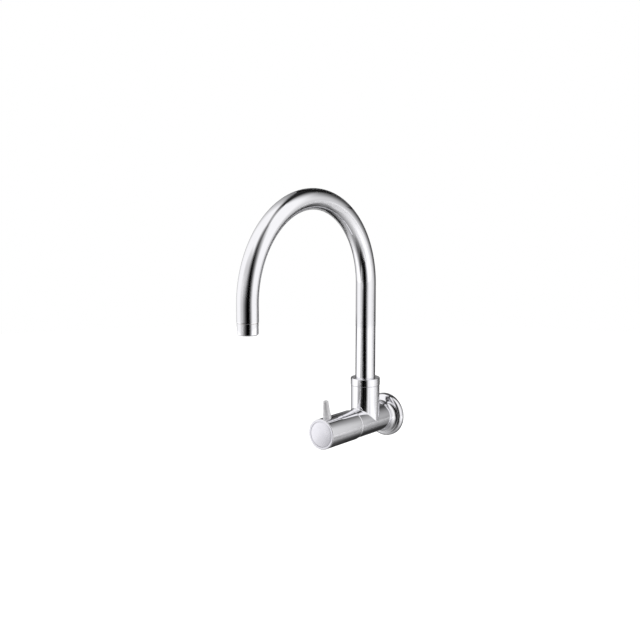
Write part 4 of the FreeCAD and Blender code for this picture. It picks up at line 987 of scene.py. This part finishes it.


# Studio

# What the chrome reflects. Each card is a soft dark quadrilateral in a plane that stands at an
# azimuth round the faucet (from -Y to +X, in degrees) and at a distance from its middle. A
# plane without an azimuth lies level, at a height. The other values are: sideways and up (or
# along Y) from the plane's middle, half width, half height, the fading edges at the left,
# right, bottom and top, how far the card leans sideways for each unit up, and its shade.
# The planes were chosen one by one. A separate program fitted the other values to the brightness
# of the chrome in the photograph, so the reflections suit the photograph's view best.

CARD_STEP = 0.002
CARDS_HEIGHT = 0.57 * TUBE_HIGH.z
CARDS = {
    "front_gap": (35, 0.35, 0.11, -0.31, 0.31, 1.37, (0.19, 0.43, 1.54, 0.91), 0.01, 0.0),
    "front_low": (35, 0.35, -0.5, -1.05, 0.39, 1.35, (0.61, 0.19, 2.16, 0.35), 0.28, 0.0),
    "rear_high": (185, 0.4, -0.26, 0.99, 0.44, 0.86, (0.59, 0.27, 0.24, 0.46), -0.22, 0.01),
    "rear_corner": (185, 0.4, 0.07, 0.76, 0.13, 0.46, (0.03, 0.02, 0.13, 0.79), -0.37, 0.0),
    "rear_low": (185, 0.4, -0.22, -0.23, 0.36, 0.15, (0.44, 0.48, 0.03, 0.22), -0.58, 0.22),
    "rear_band": (185, 0.4, -0.1, 0.09, 0.55, 0.38, (0.69, 0.55, 0.14, 0.23), 0.12, 0.0),
    "left_edge": (250, 0.4, -0.27, 1.06, 0.52, 2.23, (0.59, 0.74, 0.68, 3.1), -0.12, 0.0),
    "arch_line": (35, 0.35, -0.6, 0.36, 0.48, 0.36, (0.67, 0.13, 0.26, 0.51), -0.82, 0.66),
    "sky_line": (None, 0.7, 0.23, -0.18, 0.17, 0.58, (0.16, 0.09, 0.85, 0.02), -0.76, 0.02),
    "below": (None, -0.3, -0.02, 0.7, 0.5, 0.73, (0.34, 0.37, 0.49, 0.81), 0.38, 0.03),
    "below_wide": (None, -0.3, 0.08, 0.06, 0.83, 2.85, (0.86, 0.96, 1.94, 3.86), 0.27, 0.1),
    "rear_side": (215, 0.45, -0.04, 0.23, 0.15, 0.25, (0.07, 0.26, 0.02, 0.03), -0.54, 0.02),
    "front_side": (-40, 0.6, 0.15, 0.03, 0.2, 0.26, (0.3, 0.15, 0.12, 0.4), -0.04, 0.66),
    "right_side": (100, 0.5, -0.06, -0.36, 0.19, 0.21, (0.02, 0.38, 0.03, 0.16), 0.15, 0.74),
    "flange_band": (35, 0.3, 0.11, -0.14, 0.11, 0.14, (0.04, 0.15, 0.07, 0.22), -0.28, 0.0),
    "left_blob": (-130, 0.4, 0.03, -0.09, 0.09, 0.1, (0.02, 0.02, 0.02, 0.02), -0.96, 0.45),
    "rear_blob": (185, 0.36, -0.01, -0.16, 0.07, 0.12, (0.02, 0.03, 0.03, 0.04), 0.2, 0.0),
    "sky_blob": (None, 0.6, 0.16, -0.07, 0.14, 0.12, (0.27, 0.02, 0.17, 0.03), 0.06, 1.0),
    "low_front": (-10, 0.4, 0.06, -0.26, 0.07, 0.15, (0.03, 0.07, 0.02, 0.04), -0.84, 0.57),
    "band_core": (15, 0.3, -0.01, -0.11, 0.1, 0.08, (0.02, 0.02, 0.14, 0.11), 0.01, 0.0),
    "sky_rear": (None, 0.65, 0.0, 0.69, 0.15, 0.31, (0.02, 0.15, 0.13, 0.02), -0.05, 0.0),
    "near_right": (125, 0.22, 0.04, -0.09, 0.1, 0.11, (0.18, 0.07, 0.03, 0.02), 0.0, 0.71),
    "near_left": (-110, 0.15, -0.1, -0.1, 0.07, 0.05, (0.04, 0.02, 0.02, 0.03), 0.63, 0.0),
    "near_high": (None, 0.2, -0.09, 0.13, 0.07, 0.06, (0.02, 0.02, 0.02, 0.02), -1.51, 0.03),
    "line_fill": (143, 0.25, 0.02, -0.26, 0.05, 0.06, (0.02, 0.08, 0.05, 0.02), -1.3, 0.36),
}


def card(name, order, azimuth, distance, sideways, rise, half_width, half_height, soft, lean,
         shade):
    """Make one card that only reflections see. Those made first lie a little nearer."""
    distance += math.copysign(CARD_STEP * order, distance)
    middle = Vector((0, (RISER.y + OUTLET.y) / 2, CARDS_HEIGHT))
    if azimuth is None:
        across, upward = RIGHT, -OUT
        middle.z = distance
    else:
        turn = math.radians(azimuth)
        across, upward = Vector((math.cos(turn), math.sin(turn), 0)), UP
        middle += Vector((math.sin(turn), -math.cos(turn), 0)) * distance
    centre = middle + across * sideways + upward * rise
    bm = bmesh.new()
    corners = [centre + across * (half_width * u + lean * half_height * v)
               + upward * (half_height * v) for u, v in ((-1, -1), (1, -1), (1, 1), (-1, 1))]
    bmesh.ops.contextual_create(bm, geom=[bm.verts.new(c) for c in corners])
    piece = new_object(name, bm)
    material, shader = new_material(name)
    place = shader.place(shift=-centre)
    height = shader.dot(place, upward)
    along = shader.dot(place, across) - height * lean
    left, right, lower, upper = soft
    mask = (along.ramp(-half_width, left - half_width)
            * (1 - along.ramp(half_width - right, half_width))
            * height.ramp(-half_height, lower - half_height)
            * (1 - height.ramp(half_height - upper, half_height)))
    clear = shader.node("ShaderNodeBsdfTransparent")
    dark = shader.node("ShaderNodeEmission", None, {"Color": rgb(WHITE, shade)})
    shader.surface(shader.node("ShaderNodeMixShader", None, {0: mask, 1: clear, 2: dark}))
    piece.data.materials.append(material)
    piece.visible_camera = False
    piece.visible_diffuse = False
    piece.visible_shadow = False
    piece.visible_transmission = False


def lamp(name, place, target, size, power):
    """Make a round soft lamp that the chrome doesn't reflect."""
    light = bpy.data.lights.new(name, "AREA")
    light.shape = "DISK"
    light.size = size
    light.energy = power
    holder = bpy.data.objects.new(name, light)
    holder.location = place
    holder.rotation_mode = "QUATERNION"
    holder.rotation_quaternion = (Vector(target) - Vector(place)).to_track_quat("-Z", "Y")
    holder.visible_glossy = False
    bpy.context.scene.collection.objects.link(holder)


# The sensor's width is in millimetres, as cameras state it.

SENSOR_WIDTH = 36
FLOOR_RADIUS = 6
FLOOR_CORNERS = 64
FLOOR_PAINT = 0.8


class FAUCET_OT_studio(bpy.types.Operator):
    """Set up the camera, the pale floor, the soft lamps and what the chrome reflects"""

    bl_idname = "faucet.studio"
    bl_label = "Studio"

    def execute(self, context):
        setup = studio()
        self.make_camera(context, setup)
        self.make_world(context, setup)
        self.make_floor(setup)
        target = setup.lamp_target
        lamp("key_lamp", setup.key_place, target, setup.key_size, setup.key_power)
        lamp("fill_lamp", setup.fill_place, target, setup.fill_size, setup.fill_power)
        for order, (name, values) in enumerate(CARDS.items()):
            card(name, order, *values)
        return {"FINISHED"}

    def make_camera(self, context, setup):
        lens = bpy.data.cameras.new("photo_view")
        lens.lens = setup.lens
        lens.sensor_width = SENSOR_WIDTH
        camera = bpy.data.objects.new("photo_view", lens)
        a, e = setup.camera_azimuth, setup.camera_elevation
        back = Vector((math.sin(a) * math.cos(e), -math.cos(a) * math.cos(e), math.sin(e)))
        camera.location = setup.camera_place
        camera.rotation_mode = "QUATERNION"
        camera.rotation_quaternion = (-back).to_track_quat("-Z", "Y")
        context.scene.collection.objects.link(camera)
        context.scene.camera = camera
        context.scene.view_settings.view_transform = "Standard"

    def make_world(self, context, setup):
        world = bpy.data.worlds.new("studio_world")
        context.scene.world = world
        world.use_nodes = True
        shader = Shader(world.node_tree)
        room = shader.node("ShaderNodeBackground", None,
                           {"Color": rgb(WHITE, setup.room_light)})
        white = shader.node("ShaderNodeBackground", None, {"Color": rgb(WHITE)})
        shader.surface(shader.node("ShaderNodeMixShader", None, {
            0: seen_directly(shader), 1: room, 2: white}), "ShaderNodeOutputWorld")

    def make_floor(self, setup):
        bm = bmesh.new()
        bmesh.ops.create_circle(bm, cap_ends=True, radius=FLOOR_RADIUS,
                                segments=FLOOR_CORNERS,
                                matrix=Matrix.Translation(UP * setup.floor_height))
        floor = new_object("floor", bm)
        material, shader = new_material("pale_floor")
        paint = shader.node("ShaderNodeBsdfDiffuse", None, {"Color": rgb(WHITE, FLOOR_PAINT)})
        glow = shader.node("ShaderNodeEmission", None, {
            "Color": rgb(WHITE), "Strength": seen_directly(shader) * setup.floor_glow})
        shader.surface(shader.node("ShaderNodeAddShader", None, {0: paint, 1: glow}))
        floor.data.materials.append(material)


def seen_directly(shader):
    """One for rays from the camera, a reflection or glass, and zero for the rest."""
    path = shader.node("ShaderNodeLightPath", out="Is Camera Ray").output.node.outputs
    camera, glossy, glass = [Socket(shader, path[name]) for name in (
        "Is Camera Ray", "Is Glossy Ray", "Is Transmission Ray")]
    return camera.math("MAXIMUM", camera.math("MAXIMUM", camera, glossy), glass)


# Add-on

OPERATORS = ("spout", "tee", "flange", "collar", "outlet", "knob", "lever", "cap",
             "packed_nodes", "studio")


class FAUCET_PT_panel(bpy.types.Panel):
    """Lists the steps that dress the faucet"""

    bl_idname = "FAUCET_PT_panel"
    bl_label = "Wall faucet"
    bl_space_type = "VIEW_3D"
    bl_region_type = "UI"
    bl_category = "Faucet"

    def draw(self, context):
        column = self.layout.column()
        for name in OPERATORS:
            column.operator(f"faucet.{name}")


CLASSES = (
    FaucetSizes, FaucetFinishes, FaucetStudio,
    FAUCET_OT_spout, FAUCET_OT_tee, FAUCET_OT_flange, FAUCET_OT_collar, FAUCET_OT_outlet,
    FAUCET_OT_knob, FAUCET_OT_lever, FAUCET_OT_cap, FAUCET_OT_packed_nodes, FAUCET_OT_studio,
    FAUCET_PT_panel,
)


def register():
    for cls in CLASSES:
        bpy.utils.register_class(cls)
    bpy.types.Scene.faucet_sizes = bpy.props.PointerProperty(type=FaucetSizes)
    bpy.types.Scene.faucet_finishes = bpy.props.PointerProperty(type=FaucetFinishes)
    bpy.types.Scene.faucet_studio = bpy.props.PointerProperty(type=FaucetStudio)


def unregister():
    del bpy.types.Scene.faucet_studio
    del bpy.types.Scene.faucet_finishes
    del bpy.types.Scene.faucet_sizes
    for cls in reversed(CLASSES):
        bpy.utils.unregister_class(cls)


def main():
    register()
    for name in OPERATORS:
        getattr(bpy.ops.faucet, name)()


if __name__ == "__main__":
    main()
